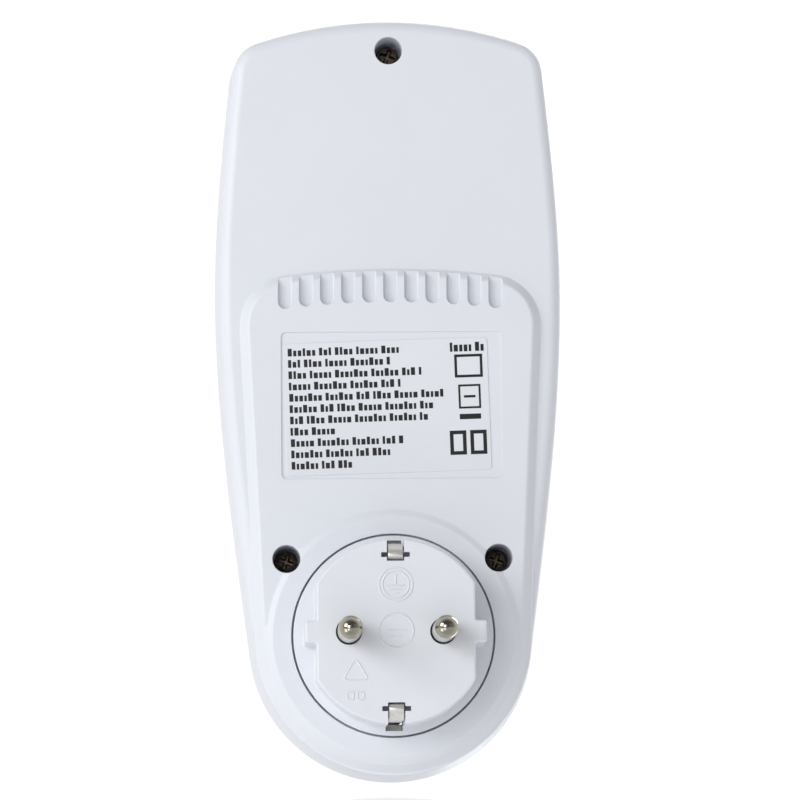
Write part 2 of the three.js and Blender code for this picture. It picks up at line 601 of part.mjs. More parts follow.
function earthLink() {
  const shape = new THREE.Shape();
  const [start, end] = [0.42 * Math.PI, 1.58 * Math.PI];
  shape.absarc(0, 0, 20.6, start, end, false);
  shape.absarc(0, 0, 18.15, end, start, true);
  return prism(shape, [-21.6, -22.2], 12);
}

function addPlug() {
  const parts = group();
  addPart(parts, "plug_base", plugBase(), WHITE_PLASTIC);
  addPart(parts, "live_pin", pin(), NICKEL, [PIN_X, 0, 0]);
  addPart(parts, "neutral_pin", pin(), NICKEL, [-PIN_X, 0, 0]);
  addPart(parts, "live_strap", pinStrap(1), BRASS);
  addPart(parts, "neutral_strap", pinStrap(-1), BRASS);
  for (const [name, side] of [["upper_earth_strip", 1], ["lower_earth_strip", -1]]) {
    addPart(parts, name, earthStrip(side), NICKEL);
  }
  addPart(parts, "earth_link", earthLink(), NICKEL);
}

// ---------------------------------------------------------------------------------------------------
// Socket
// ---------------------------------------------------------------------------------------------------

function socketWell() {
  const cup = cut(
    rod(WELL_OUTER_RADIUS, [WELL_BACK_Y, FRONT_Y], 0, 0, 48),
    rod(WELL_RADIUS, [WELL_FLOOR_Y, -FAR], 0, 0, 48),
  );
  const flange = cut(
    rod(WELL_FLANGE_RADIUS, [FRONT_INNER_Y + GAP + 1.4, FRONT_INNER_Y + GAP], 0, 0, 32),
    rod(WELL_RADIUS + 1, [0, -FAR], 0, 0, 32),
  );
  const screwBosses = [-1, 1].map((side) =>
    rod(2.6, [CARRIER_FRONT_Y - GAP, WELL_FLOOR_Y + 1], 0, side * CARRIER_SCREW_Z, 12));
  const guides = [-1, 1].flatMap((x) => [-1, 1].map((z) =>
    box([x * 17.2, x * 20], [WELL_FLOOR_Y + 0.5, FRONT_Y + 2], [z * 3, z * 5.4])));
  const pinHoles = [-1, 1].map((side) => rod(PIN_HOLE_RADIUS, [0, -FAR], side * PIN_X, 0, 20));
  const screwHoles = [-1, 1].map((side) => rod(1.4, [0, WELL_FLOOR_Y + 0.7], 0, side * CARRIER_SCREW_Z, 8));
  const stripSlots = [-1, 1].map((side) =>
    box([-2.3, 2.3], [0, -45], [side * (EARTH_STRIP.z - 0.8), side * (EARTH_STRIP.z + 0.8)]));
  return cut(join(cup, flange, ...screwBosses, ...guides), ...pinHoles, ...screwHoles, ...stripSlots);
}

function contactCarrier() {
  const body = rod(CARRIER_RADIUS, [CARRIER_BACK_Y, CARRIER_FRONT_Y], 0, 0, 32);
  const post = rod(SHUTTER_POST_RADIUS, [CARRIER_FRONT_Y + 2.5, WELL_BACK_Y + GAP], 0, 0, 16);
  const springPocket = rod(4.4, [CARRIER_FRONT_Y + 2.2, -FAR], 0, 0, 20);
  const cuts = [springPocket];
  for (const side of [-1, 1]) {
    cuts.push(box([side * 6.1, side * 12.9], [0, -FAR], [-4.6, 5.4]));
    cuts.push(box([side * 6.1, side * 9], [0, -25.5], [5, FAR]));
    cuts.push(box([-2.3, 2.3], [0, -FAR], [side * (EARTH_STRIP.z - 0.8), side * FAR]));
    cuts.push(rod(2.9, [0, -26.4], 0, side * CARRIER_SCREW_Z, 12));
    cuts.push(rod(1.5, [0, -FAR], 0, side * CARRIER_SCREW_Z, 8));
  }
  return join(cut(body, ...cuts), post);
}

// A sprung contact that grips an appliance's pin between two leaves, with a tail up to the mains board.
function socketContact(side) {
  const thickness = 0.6;
  const leaf = { y: [-24, -34.8], z: [-4, 4.5], near: 2.45, far: 3 };
  const tail = { y: [-24.3, -24.9], topZ: 34, inner: -3, outer: -0.8 };
  const bridgeTopZ = 5;
  const boardBack = MAINS_BOARD.backY + GAP;
  const from = (near, far) => [side * (PIN_X + near), side * (PIN_X + far)];
  return join(
    box(from(-leaf.far, -leaf.near), leaf.y, leaf.z),
    box(from(leaf.near, leaf.far), leaf.y, leaf.z),
    box(from(-leaf.far, leaf.far), leaf.y, [bridgeTopZ - thickness, bridgeTopZ]),
    box(from(tail.inner, tail.outer), tail.y, [bridgeTopZ - 0.1, tail.topZ]),
    box(from(tail.inner, tail.outer), [tail.y[0], boardBack], [tail.topZ - thickness, tail.topZ]),
  );
}

// Two vanes on a hub. At rest each vane covers a pin hole.
function safetyShutter() {
  const { inner, outer, halfAngle } = SHUTTER_VANE;
  const vanes = [0, Math.PI].map((middle) => {
    const shape = new THREE.Shape();
    shape.absarc(0, 0, outer, middle - halfAngle, middle + halfAngle, false);
    shape.absarc(0, 0, inner, middle + halfAngle, middle - halfAngle, true);
    return prism(shape, SHUTTER_Y, 5);
  });
  const hub = rod(4.2, SHUTTER_Y, 0, 0, 20);
  return cut(join(hub, ...vanes), rod(SHUTTER_POST_RADIUS + 0.15, [0, -FAR], 0, 0, 16));
}

// A coil of wire round the shutter's post.
function shutterSpring() {
  const turns = 2.5;
  const steps = 24;
  const coil = new THREE.CatmullRomCurve3(Array.from({ length: steps + 1 }, (_, i) => {
    const angle = (i / steps) * turns * 2 * Math.PI;
    const y = CARRIER_FRONT_Y + 1.7 - (i / steps) * 1.6;
    return new THREE.Vector3(3.1 * Math.cos(angle), y, 3.1 * Math.sin(angle));
  }));
  const wire = new THREE.Shape();
  wire.absarc(0, 0, 0.22, 0, 2 * Math.PI, false);
  return solidOf(new THREE.ExtrudeGeometry(wire, { steps: 30, curveSegments: 2, extrudePath: coil }));
}

function addSocket() {
  const parts = group();
  addPart(parts, "socket_well", socketWell(), WHITE_PLASTIC);
  addPart(parts, "contact_carrier", contactCarrier(), DARK_PLASTIC);
  addPart(parts, "live_contact", socketContact(1), BRASS);
  addPart(parts, "neutral_contact", socketContact(-1), BRASS);
  addPart(parts, "safety_shutter", safetyShutter(), GREY_PLASTIC);
  addPart(parts, "shutter_spring", shutterSpring(), SPRING_STEEL);
  const screw = panScrew(2.5, 1.6, 1.1, 12.8, 0.8);
  addPart(parts, "carrier_screw_upper", screw, SPRING_STEEL, [0, -24.5, CARRIER_SCREW_Z]);
  addPart(parts, "carrier_screw_lower", screw, SPRING_STEEL, [0, -24.5, -CARRIER_SCREW_Z]);
}

// ---------------------------------------------------------------------------------------------------
// Display and keys
// ---------------------------------------------------------------------------------------------------

// The keys' centres, left to right as seen from the room.
function keyX(index) {
  return (index - (KEY_NAMES.length - 1) / 2) * KEY_PITCH;
}

function lcdWindow() {
  const plate = rectangle(WINDOW.width - 2 * GAP, WINDOW.height - 2 * GAP, 1.3, 0, DISPLAY_Z);
  const flange = rectangle(WINDOW.width + 4, WINDOW.height + 4, 1, 0, DISPLAY_Z);
  return join(
    prism(plate, [FRONT_INNER_Y + 0.5, FRONT_Y + 0.9], 3),
    prism(flange, [FRONT_INNER_Y + GAP + 0.8, FRONT_INNER_Y + GAP], 3),
  );
}

function lcdFrame() {
  const outer = rectangle(LCD.width + 6, LCD.height + 6, 1.5, 0, DISPLAY_Z);
  const glassRoom = rectangle(LCD.width + 2 * GAP, LCD.height + 2 * GAP, 0.5, 0, DISPLAY_Z);
  const backOpening = rectangle(LCD.width - 2, LCD.height - 1, 0.5, 0, DISPLAY_Z);
  return cut(
    prism(outer, [DISPLAY_BOARD.frontY - GAP, -54.4], 3),
    prism(glassRoom, [LCD.backY + GAP, -FAR], 3),
    prism(backOpening, [0, -FAR], 3),
  );
}

function boardPlate({ halfWidth, backY, frontY, z }, holes) {
  const middle = (z[0] + z[1]) / 2;
  const plate = prism(rectangle(2 * halfWidth, z[1] - z[0], 2, 0, middle), [backY, frontY], 3);
  return cut(plate, ...holes.map(([x, holeZ]) => rod(1.6, [0, -FAR], x, holeZ, 10)));
}

function tactSwitch() {
  const half = SWITCH_SIZE / 2;
  const body = box([-half, half], [DISPLAY_BOARD.frontY - GAP, SWITCH_FRONT_Y], [-half, half]);
  return cut(body, rod(PLUNGER.radius + 0.2, [PLUNGER.backY + 1, -FAR], 0, 0, 12));
}

function keyCap() {
  const capShape = rectangle(KEY_CAP.width, KEY_CAP.height, KEY_CAP.radius);
  const top = roundedPrism(capShape, [-54.5, KEY_CAP.topY], 0.5, 1, 3);
  const flange = prism(rectangle(11.6, 8.6, 2), [-54.65, FRONT_INNER_Y + 0.12], 2);
  const stem = rod(1.8, [PLUNGER.frontY - GAP, -54.7], 0, 0, 10);
  const trimmed = top.intersect(box([-FAR, FAR], [-54.8, -FAR], [-FAR, FAR]));
  return join(trimmed, flange, stem);
}

function resetButton() {
  return join(
    rod(RESET.radius, [-54.8, RESET.topY], 0, 0, 16),
    rod(2.8, [-54.65, FRONT_INNER_Y + 0.12], 0, 0, 16),
    rod(1.4, [PLUNGER.frontY - GAP, -54.7], 0, 0, 10),
  );
}

function addDisplay() {
  const parts = group();
  addPart(parts, "lcd_window", lcdWindow(), CLEAR_WINDOW);
  const glass = prism(rectangle(LCD.width, LCD.height, 0.4, 0, DISPLAY_Z), [LCD.backY, LCD.backY - 2.2], 2);
  addPart(parts, "lcd_panel", glass, LCD_GREEN);
  addPart(parts, "lcd_frame", lcdFrame(), WHITE_PLASTIC);
  const rubberZ = DISPLAY_Z - 14.2;
  const rubber = box([-21, 21], [DISPLAY_BOARD.frontY - GAP, LCD.backY + GAP], [rubberZ - 1, rubberZ + 1]);
  addPart(parts, "contact_rubber", rubber, RUBBER);
  addPart(parts, "display_board", boardPlate(DISPLAY_BOARD, mirrored(DISPLAY_POSTS)), BOARD_GREEN);
  mirrored(DISPLAY_POSTS).forEach(([x, z], i) => {
    const screw = panScrew(2.4, 1.5, 1.1, 8, 0.8);
    addPart(parts, `display_screw_${i + 1}`, screw, SPRING_STEEL, [x, DISPLAY_BOARD.backY + GAP + 1.5, z]);
  });
  const keys = [
    ...KEY_NAMES.map((name, i) => ({ name, x: keyX(i), z: KEY_Z, cap: `${name}_key`, solid: keyCap() })),
    { name: "reset", x: 0, z: RESET_Z, cap: "reset_button", solid: resetButton() },
  ];
  for (const { name, x, z, cap, solid } of keys) {
    addPart(parts, cap, solid, name === "reset" ? DARK_PLASTIC : GREY_PLASTIC, [x, 0, z]);
    addPart(parts, `${name}_switch`, tactSwitch(), DARK_PLASTIC, [x, 0, z]);
    const plunger = rod(PLUNGER.radius, [PLUNGER.backY, PLUNGER.frontY], 0, 0, 12);
    addPart(parts, `${name}_plunger`, plunger, DARK_PLASTIC, [x, 0, z]);
  }
}

// ---------------------------------------------------------------------------------------------------
// Electronics
// ---------------------------------------------------------------------------------------------------

function sideways(solid) {
  return solid.rotate([0, 0, 90]);
}

// A low bridge of alloy strip.
function shunt() {
  const { reach, halfWidth, thickness, topY } = { reach: 8, halfWidth: 2, thickness: 0.8, topY: -39 };
  const legY = [MAINS_BOARD.frontY - GAP, topY];
  const z = [-halfWidth, halfWidth];
  return join(
    box([-reach, thickness - reach], legY, z),
    box([reach - thickness, reach], legY, z),
    box([-reach, reach], [topY + thickness, topY], z),
  );
}

// The drop of resin over the display's controller.
function controllerDome() {
  const [radius, height, steps] = [7, 1.8, 4];
  const profile = [new THREE.Vector2(0, 0), new THREE.Vector2(radius, 0)];
  for (let i = 1; i <= steps; i += 1) {
    const angle = (i / steps) * (Math.PI / 2);
    profile.push(new THREE.Vector2(i === steps ? 0 : radius * Math.cos(angle), height * Math.sin(angle)));
  }
  return solidOf(new THREE.LatheGeometry(profile, 16));
}

function addElectronics() {
  const parts = group();
  const onMains = MAINS_BOARD.frontY - GAP;
  addPart(parts, "mains_board", boardPlate(MAINS_BOARD, mirrored(MAINS_POSTS)), BOARD_GREEN);
  mirrored(MAINS_POSTS).forEach(([x, z], i) => {
    const screw = panScrew(2.4, 1.5, 1.1, 6.2, 0.8).rotate([180, 0, 0]);
    addPart(parts, `mains_screw_${i + 1}`, screw, SPRING_STEEL, [x, onMains - 1.5, z]);
  });
  const film = prism(rectangle(18, 8, 0.6), [0, -11], 2);
  addPart(parts, "film_capacitor", film, CAPACITOR_YELLOW, [-9, onMains, 88]);
  addPart(parts, "smoothing_capacitor", rod(5, [0, -12]), CAN_BLUE, [-17, onMains, 74]);
  addPart(parts, "backup_battery", rod(7.8, [0, -11.5]), CAN_BLUE, [10, onMains, 80]);
  addPart(parts, "fuse", sideways(rod(2.5, [10, -10], 0, 0, 16)), CERAMIC, [0, onMains - 2.8, 62]);
  addPart(parts, "shunt_resistor", shunt(), MANGANIN, [10, 0, 48]);
  const chip = prism(rectangle(10, 7, 0.3), [0, -1.8], 2);
  addPart(parts, "metering_chip", chip, DARK_PLASTIC, [-14, onMains, 50]);
  const onDisplay = DISPLAY_BOARD.backY + GAP;
  const connector = box([-9, 9], [0, onDisplay + GAP - onMains], [-1.25, 1.25]);
  addPart(parts, "board_connector", connector, DARK_PLASTIC, [0, onMains, 38]);
  addPart(parts, "display_controller", controllerDome(), DARK_PLASTIC, [0, onDisplay, 100]);
  const can = prism(rectangle(10, 4, 1.9), [3, 0], 4);
  addPart(parts, "crystal", can, SPRING_STEEL, [0, onDisplay, 72]);
}

addCase();
addPlug();
addSocket();
addDisplay();
addElectronics();

export default model;
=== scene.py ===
"""A plug-in power meter: a white two-shell case with an earthed plug on its wall side, and a socket,
a display and keys on its room side. Every piece is made in place, in metres: X is across the case,
+Y points into the wall outlet and Z is up."""

import json
import math

import bmesh
import bpy
import numpy as np
from bpy.props import FloatProperty, FloatVectorProperty, PointerProperty
from mathutils import Matrix, Vector


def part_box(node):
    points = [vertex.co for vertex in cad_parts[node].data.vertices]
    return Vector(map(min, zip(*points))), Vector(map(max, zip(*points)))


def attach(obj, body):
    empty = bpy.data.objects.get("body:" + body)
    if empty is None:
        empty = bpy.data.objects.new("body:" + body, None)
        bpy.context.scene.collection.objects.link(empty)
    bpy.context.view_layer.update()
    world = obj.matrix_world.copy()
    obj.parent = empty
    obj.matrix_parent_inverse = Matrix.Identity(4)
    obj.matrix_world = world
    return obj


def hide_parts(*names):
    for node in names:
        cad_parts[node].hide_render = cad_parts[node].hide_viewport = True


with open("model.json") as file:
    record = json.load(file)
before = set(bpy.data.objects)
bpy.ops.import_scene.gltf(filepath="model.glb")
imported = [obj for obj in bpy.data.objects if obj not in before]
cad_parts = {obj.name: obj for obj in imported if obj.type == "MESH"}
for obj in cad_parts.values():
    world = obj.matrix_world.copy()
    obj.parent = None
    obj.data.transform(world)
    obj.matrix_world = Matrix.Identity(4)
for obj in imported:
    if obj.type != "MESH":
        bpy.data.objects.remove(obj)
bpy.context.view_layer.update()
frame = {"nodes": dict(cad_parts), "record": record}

bl_info = {
    "name": "Plug-in power meter",
    "version": (1, 0, 0),
    "blender": (4, 5, 0),
    "location": "3D View > Sidebar > Power meter",
    "description": "Builds a plug-in power meter piece by piece round its frame",
    "category": "Add Mesh",
}

MM = 0.001
FAR = 0.1  # past any face, for cutting tools
METER = "meter"

# ---------------------------------------------------------------------------------------------------
# Places taken from the frame
# ---------------------------------------------------------------------------------------------------


def middle(node):
    """The centre of a node's box."""
    low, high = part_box(node)
    return (low + high) / 2


def place_of(node):
    """The X and Z of a node's centre."""
    centre = middle(node)
    return centre.x, centre.z


def extent(node):
    """The size of a node's box on each axis."""
    low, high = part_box(node)
    return high - low


REAR_LOW, REAR_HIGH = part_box("rear_cover")
FRONT_LOW, FRONT_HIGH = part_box("front_cover")
TONGUE = 1.3 * MM
COLLAR_Y = REAR_HIGH.y
PAD_Y = COLLAR_Y - 0.8 * MM
PANEL_Y = COLLAR_Y - 2.8 * MM
PARTING_Y = REAR_LOW.y + TONGUE
FRONT_Y = FRONT_LOW.y
PLUG_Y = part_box("plug_base")[1].y
PIN_X = middle("live_pin").x
DISPLAY_Z = middle("lcd_panel").z
CASE_SCREWS = ("case_screw_top", "case_screw_left", "case_screw_right")
KEYS = ("function_key", "up_key", "down_key", "cost_key")
WELL_FLOOR_Y = -40.7 * MM
WELL_BACK_Y = -38.2 * MM
SCREW_FLOOR_Y = -31 * MM  # of the case screws' wells

WALL = 2.2 * MM
KEY_FLANGE_BACK_Y = -54.65 * MM  # of the flanges that keep the keys and the reset button in
KEY_FLANGE_FRONT_Y = FRONT_Y + WALL + 0.12 * MM
POST_RADIUS = 2.9 * MM  # of the posts that the boards are screwed to
POST_BORE = 1.4 * MM
PARTING_GAP = 0.3 * MM
DRAFT = math.tan(math.radians(3.6))
LABEL_DEPTH = 0.35 * MM  # of the label's recess

# ---------------------------------------------------------------------------------------------------
# Settings
# ---------------------------------------------------------------------------------------------------


def length(name, description, value):
    """A length setting. Its value is in metres."""
    return FloatProperty(name=name, description=description, default=value, unit="LENGTH", precision=5)


def colour(name, description, value):
    """A colour setting, in linear light."""
    return FloatVectorProperty(
        name=name, description=description, default=value, subtype="COLOR", size=3, min=0.0, max=1.0
    )


def factor(name, description, value):
    """A setting from 0 to 1."""
    return FloatProperty(
        name=name, description=description, default=value, subtype="FACTOR", min=0.0, max=1.0
    )


def power(name, description, value):
    """A light's power, in watts."""
    return FloatProperty(name=name, description=description, default=value, unit="POWER")


class CaseSettings(bpy.types.PropertyGroup):
    rear_edge: length("Wall-side edge", "Radius of the edge round the wall side", 2.4 * MM)
    front_edge: length("Room-side edge", "Radius of the edge round the room side", 4 * MM)
    collar_radius: length("Collar radius", "Outer edge of the flat collar round the plug", 24.7 * MM)
    pad_radius: length("Pad radius", "Top edge of the pad where it runs round the plug", 26.3 * MM)
    pad_slope: length("Pad slope", "How far the pad's side spreads down to the panel", 1.7 * MM)
    pad_softness: length("Pad softness", "Rounding along the pad's top edge and foot", 0.4 * MM)
    opening_radius: length("Plug opening", "Radius of the round opening for the plug", 20.9 * MM)
    well_radius: length("Screw well radius", "Radius of each case screw's well", 2.85 * MM)
    vent_width: length("Vent width", "Width of each vent groove", 2.9 * MM)
    vent_pitch: length("Vent pitch", "Distance from one vent groove to the next", 4.35 * MM)
    vent_depth: length("Vent depth", "Depth of each vent groove", 1.4 * MM)
    plastic: colour("Plastic", "Colour of the case's moulded plastic", (0.74, 0.765, 0.82))
    roughness: factor("Roughness", "Roughness of the case's satin surface", 0.4)


class PlugSettings(bpy.types.PropertyGroup):
    boss_radius: length("Boss radius", "Radius of the plug's boss", 18.7 * MM)
    boss_half_flat: length("Half flat", "Distance from the plug's axis to each side flat", 16 * MM)
    rib_reach: length("Rib reach", "Distance from the plug's axis to the face of each side rib", 18.3 * MM)
    rib_half_width: length("Rib half width", "Half the width of each side rib", 2.2 * MM)
    edge: length("Edge", "Rounding of the edge of the plug's end face", 0.45 * MM)
    pin_radius: length("Pin radius", "Radius of each pin", 2.4 * MM)
    mark_width: length("Mark width", "Width of the raised lines on the end face", 0.34 * MM)
    mark_height: length("Mark height", "Height of the raised lines on the end face", 0.18 * MM)
    plastic: colour("Plastic", "Colour of the plug's plastic", (0.76, 0.785, 0.84))
    nickel: colour("Nickel", "Colour of the pins' plating", (0.37, 0.35, 0.29))
    strip: colour("Earth strip", "Colour of the earth strips' plating", (0.85, 0.84, 0.81))


class LabelSettings(bpy.types.PropertyGroup):
    width: length("Width", "Width of the label", 42.2 * MM)
    height: length("Height", "Height of the label", 27.4 * MM)
    corner: length("Corner", "Corner radius of the label", 0.8 * MM)
    line_pitch: length("Line pitch", "Distance from one printed line to the next", 2.34 * MM)
    bar_height: length("Bar height", "Height of the tallest printed bars", 1.6 * MM)
    tilt: FloatProperty(
        name="Tilt",
        description="How far the label is turned in its recess",
        default=math.radians(-1.7),
        unit="ROTATION",
    )
    film: colour("Film", "Colour of the label's film", (0.75, 0.775, 0.83))
    ink: colour("Ink", "Colour of the print", (0.012, 0.012, 0.014))


class DisplaySettings(bpy.types.PropertyGroup):
    recess_width: length("Recess width", "Width of the shallow recess round the window", 58 * MM)
    recess_height: length("Recess height", "Height of the shallow recess round the window", 42 * MM)
    digit_height: length("Digit height", "Height of the large digits", 9 * MM)
    glass: colour("Glass", "Colour of the display where nothing shows", (0.36, 0.41, 0.32))
    segment: colour("Segment", "Colour of a digit's segments", (0.03, 0.035, 0.04))


class KeySettings(bpy.types.PropertyGroup):
    crown: length("Crown", "Rounding of each key cap's top edge", 0.8 * MM)
    cap: colour("Key", "Colour of the key caps", (0.27, 0.3, 0.33))
    mark: colour("Mark", "Colour of the marks on the key caps", (0.8, 0.82, 0.84))
    reset: colour("Reset button", "Colour of the reset button", (0.02, 0.021, 0.024))


class StageSettings(bpy.types.PropertyGroup):
    key_power: power("Key power", "Power of the large soft light", 8.0)
    fill_power: power("Fill power", "Power of the weaker light", 0.4)
    front_power: power("Front power", "Power of the light beside the camera", 2.4)
    glare_power: power("Glare power", "Power of the small light that glints on the label", 0.06)
    surroundings: factor("Surroundings", "Brightness of the light from all round", 0.42)
    distance: length("Camera distance", "Distance from the camera to its target", 1.0)
    focal_length: FloatProperty(
        name="Focal length",
        description="Focal length of the lens, in millimetres",
        default=218.14,
        subtype="DISTANCE_CAMERA",
    )


SETTINGS = {
    "meter_case": CaseSettings,
    "meter_plug": PlugSettings,
    "meter_label": LabelSettings,
    "meter_display": DisplaySettings,
    "meter_keys": KeySettings,
    "meter_stage": StageSettings,
}

# ---------------------------------------------------------------------------------------------------
# Outlines, drawn in X and Z. Each is a function of how far it is drawn in.
# ---------------------------------------------------------------------------------------------------


def bezier(start, first, second, end, steps=20):
    """A cubic curve without its end point: the four points blended by the cubic Bernstein weights."""
    t = np.arange(steps)[:, None] / steps
    start, first, second, end = (np.asarray(p, float) for p in (start, first, second, end))
    return start * (1 - t) ** 3 + first * 3 * t * (1 - t) ** 2 + second * 3 * t**2 * (1 - t) + end * t**3


def arc(centre, radius, start, end, steps=20, whole=False):
    """A circle's points from one angle to another: the centre plus the radius times cosine and sine."""
    angle = np.linspace(start, end, steps, endpoint=whole)
    return np.asarray(centre) + radius * np.column_stack([np.cos(angle), np.sin(angle)])


def both_sides(half):
    """A closed outline from its right half, which runs from the bottom centre to the top centre."""
    return np.vstack([half, half[-2:0:-1] * (-1, 1)])


def drawn_in(outline, inset):
    """Each point of a closed outline moved along the bisector of its two sides' normals, by the inset
    over the cosine of half the angle between them."""
    into = outline - np.roll(outline, 1, axis=0)
    into /= np.linalg.norm(into, axis=1)[:, None]
    out = np.roll(into, -1, axis=0)
    along = into + out
    along /= np.linalg.norm(along, axis=1)[:, None]
    inward = np.column_stack([-along[:, 1], along[:, 0]])
    miter = np.sqrt((1 + (into * out).sum(axis=1)) / 2)
    return outline + inward * (inset / miter)[:, None]


def inset_of(outline):
    """A fixed outline as a function of its inset."""
    return lambda inset: drawn_in(outline, inset)


def circle(radius, x=0.0, z=0.0, steps=48):
    """A circle as a function of its inset."""
    return lambda inset: arc((x, z), radius - inset, 0, 2 * math.pi, steps)


def rectangle(width, height, corner, x=0.0, z=0.0, steps=6):
    """A rectangle with round corners as a function of its inset. Its corners keep a small radius."""

    def shape(inset):
        radius = max(corner - inset, 0.05 * MM)
        reach = np.array([width / 2, height / 2]) - inset - radius
        corners = []
        for turn, (right, up) in enumerate([(1, -1), (1, 1), (-1, 1), (-1, -1)]):
            start = (turn - 1) * math.pi / 2
            centre = np.array([x, z]) + reach * (right, up)
            corners.append(arc(centre, radius, start, start + math.pi / 2, steps, whole=True))
        return np.vstack(corners)

    return shape


def case_outline():
    """A round bottom about the plug's axis, sides that swell to the widest place and draw in to the
    shoulders, tight corners and a crowned top."""
    radius = -REAR_LOW.z
    half_width, top = REAR_HIGH.x, REAR_HIGH.z
    taper = math.radians(7.5)
    widest = np.array([half_width, 72 * MM])
    shoulder = np.array([33.2, 117.2]) * MM
    corner = np.array([32.6, 122.9]) * MM
    crown_radius, half_chord = 87 * MM, 27.5 * MM
    crown_angle = math.asin(half_chord / crown_radius)
    crown_centre = np.array([0, top - crown_radius])
    crown = crown_centre + crown_radius * np.array([math.sin(crown_angle), math.cos(crown_angle)])
    low = radius * np.array([math.cos(taper), -math.sin(taper)])
    rise = 33 * MM * np.array([math.sin(taper), math.cos(taper)])
    fullness = 0.66
    shoulder_handle = shoulder + (corner - shoulder) * fullness
    crown_handle = crown + (corner - crown) * fullness
    half = np.vstack([
        arc((0, 0), radius, -math.pi / 2, -taper, 40),
        bezier(low, low + rise, widest - (0, 22 * MM), widest, 30),
        bezier(widest, widest + (0, 16 * MM), shoulder + np.array([1.4, -14]) * MM, shoulder, 24),
        bezier(shoulder, shoulder_handle, crown_handle, crown, 20),
        arc(crown_centre, crown_radius, math.pi / 2 - crown_angle, math.pi / 2, 20, whole=True),
    ])
    return both_sides(half)


def pad_outline(radius):
    """The raised pad's top edge: a circle round the plug, straight sides and an arched top."""
    taper = math.radians(2.75)
    crown_radius, top = 180 * MM, 74.3 * MM
    corner = np.array([29.8, 71.8]) * MM
    run, bulge = 8.3 * MM, 0.58

    def side(z):
        return np.array([radius / math.cos(taper) + z * math.tan(taper), z])

    side_z = corner[1] - run
    top_angle = math.asin((corner[0] - run) / crown_radius)
    crown_centre = np.array([0, top - crown_radius])
    crown = crown_centre + crown_radius * np.array([math.sin(top_angle), math.cos(top_angle)])
    crown_handle = crown + run * bulge * np.array([1, -math.tan(top_angle)])
    low = radius * np.array([math.cos(taper), -math.sin(taper)])
    half = np.vstack([
        arc((0, 0), radius, -math.pi / 2, -taper, 40),
        bezier(low, low * (2 / 3) + side(side_z) / 3, low / 3 + side(side_z) * (2 / 3), side(side_z), 16),
        bezier(side(side_z), side(side_z + run * bulge), crown_handle, crown, 20),
        arc(crown_centre, crown_radius, math.pi / 2 - top_angle, math.pi / 2, 20, whole=True),
    ])
    return both_sides(half)


def boss_outline(settings):
    """The plug's boss: a circle with a flat on each side and a rib in the middle of each flat."""
    radius, flat = settings.boss_radius, settings.boss_half_flat
    reach, half = settings.rib_reach, settings.rib_half_width
    angle = math.acos(flat / radius)
    fillet = 0.5 * MM
    right_side = softened(
        [(flat, -radius * math.sin(angle)), (flat, -half), (reach, -half), (reach, half), (flat, half),
         (flat, radius * math.sin(angle))],
        fillet,
        4,
    )
    low_arc = arc((0, 0), radius, -math.pi / 2, -angle, 30)
    high_arc = arc((0, 0), radius, angle, math.pi / 2, 30, whole=True)[1:]
    return both_sides(np.vstack([low_arc, right_side, high_arc]))


def softened(points, radius, steps=5):
    """A line of points with its inner corners rounded: each corner is a cubic curve between the points
    that lie the radius before and after it, or a third of the way along a shorter side."""
    points = np.asarray(points, float)
    radii = np.broadcast_to(radius, len(points))
    rounded = [points[:1]]
    for before, corner, after, wanted in zip(points, points[1:], points[2:], radii[1:]):
        back, ahead = before - corner, after - corner
        reach = min(wanted, 0.49 * np.linalg.norm(back), 0.49 * np.linalg.norm(ahead))
        start = corner + back / np.linalg.norm(back) * reach
        end = corner + ahead / np.linalg.norm(ahead) * reach
        curve = bezier(start, start + (corner - start) * 0.552, end + (corner - end) * 0.552, end, steps)
        rounded += [curve, end[None]]
    return np.vstack([*rounded, points[-1:]])


def round_triangle(centre, reach, start, corner, steps):
    """A triangle with round corners, the first at the start angle. It begins in the middle of a side."""
    corners = arc(centre, reach, start, start + 2 * math.pi, 3)
    side_middle = (corners[0] + corners[2]) / 2
    return softened(np.vstack([side_middle, corners, side_middle]), corner, steps)[:-1]


# ---------------------------------------------------------------------------------------------------
# Solids, as vertices and faces
# ---------------------------------------------------------------------------------------------------


def stitched(rings, closed=False):
    """Rings of points joined by quads, each ring to the next. The first and last rings are closed flat,
    or joined to each other."""
    rings = np.asarray(rings)
    count, around = rings.shape[:2]
    grid = np.arange(count * around).reshape(count, around)
    near = grid if closed else grid[:-1]
    far = np.roll(grid, -1, axis=0) if closed else grid[1:]
    quads = np.stack([near, np.roll(near, -1, axis=1), np.roll(far, -1, axis=1), far], axis=-1)
    faces = quads.reshape(-1, 4).tolist()
    if not closed:
        faces += [grid[0][::-1].tolist(), grid[-1].tolist()]
    return rings.reshape(-1, 3), faces


def carried(shape, profile, closed=False):
    """An outline carried along Y: each profile point gives the outline's inset and its level."""
    rings = []
    for inset, level in np.asarray(profile, float):
        outline = shape(inset)
        rings.append(np.column_stack([outline[:, 0], np.full(len(outline), level), outline[:, 1]]))
    return stitched(rings, closed)


def straight(shape, near, far):
    """An outline carried from one level to another without a change."""
    return carried(shape, [(0, near), (0, far)])


def rods(places, radius, near, far, steps=48):
    """A round bar along Y at each place, given as X and Z."""
    return together(*[straight(circle(radius, x, z, steps), near, far) for x, z in places])


def swept(path, section):
    """A section carried along a path in the YZ plane: each section point is an offset along X and an
    offset along the path's normal, which bisects the bends."""
    path = np.asarray(path, float)
    along = np.gradient(path, axis=0)
    along /= np.linalg.norm(along, axis=1)[:, None]
    normal = np.column_stack([-along[:, 1], along[:, 0]])
    rings = np.zeros((len(path), len(section), 3))
    rings[:, :, 0] = section[None, :, 0]
    rings[:, :, 1:] = path[:, None, :] + normal[:, None, :] * section[None, :, 1, None]
    return stitched(rings)


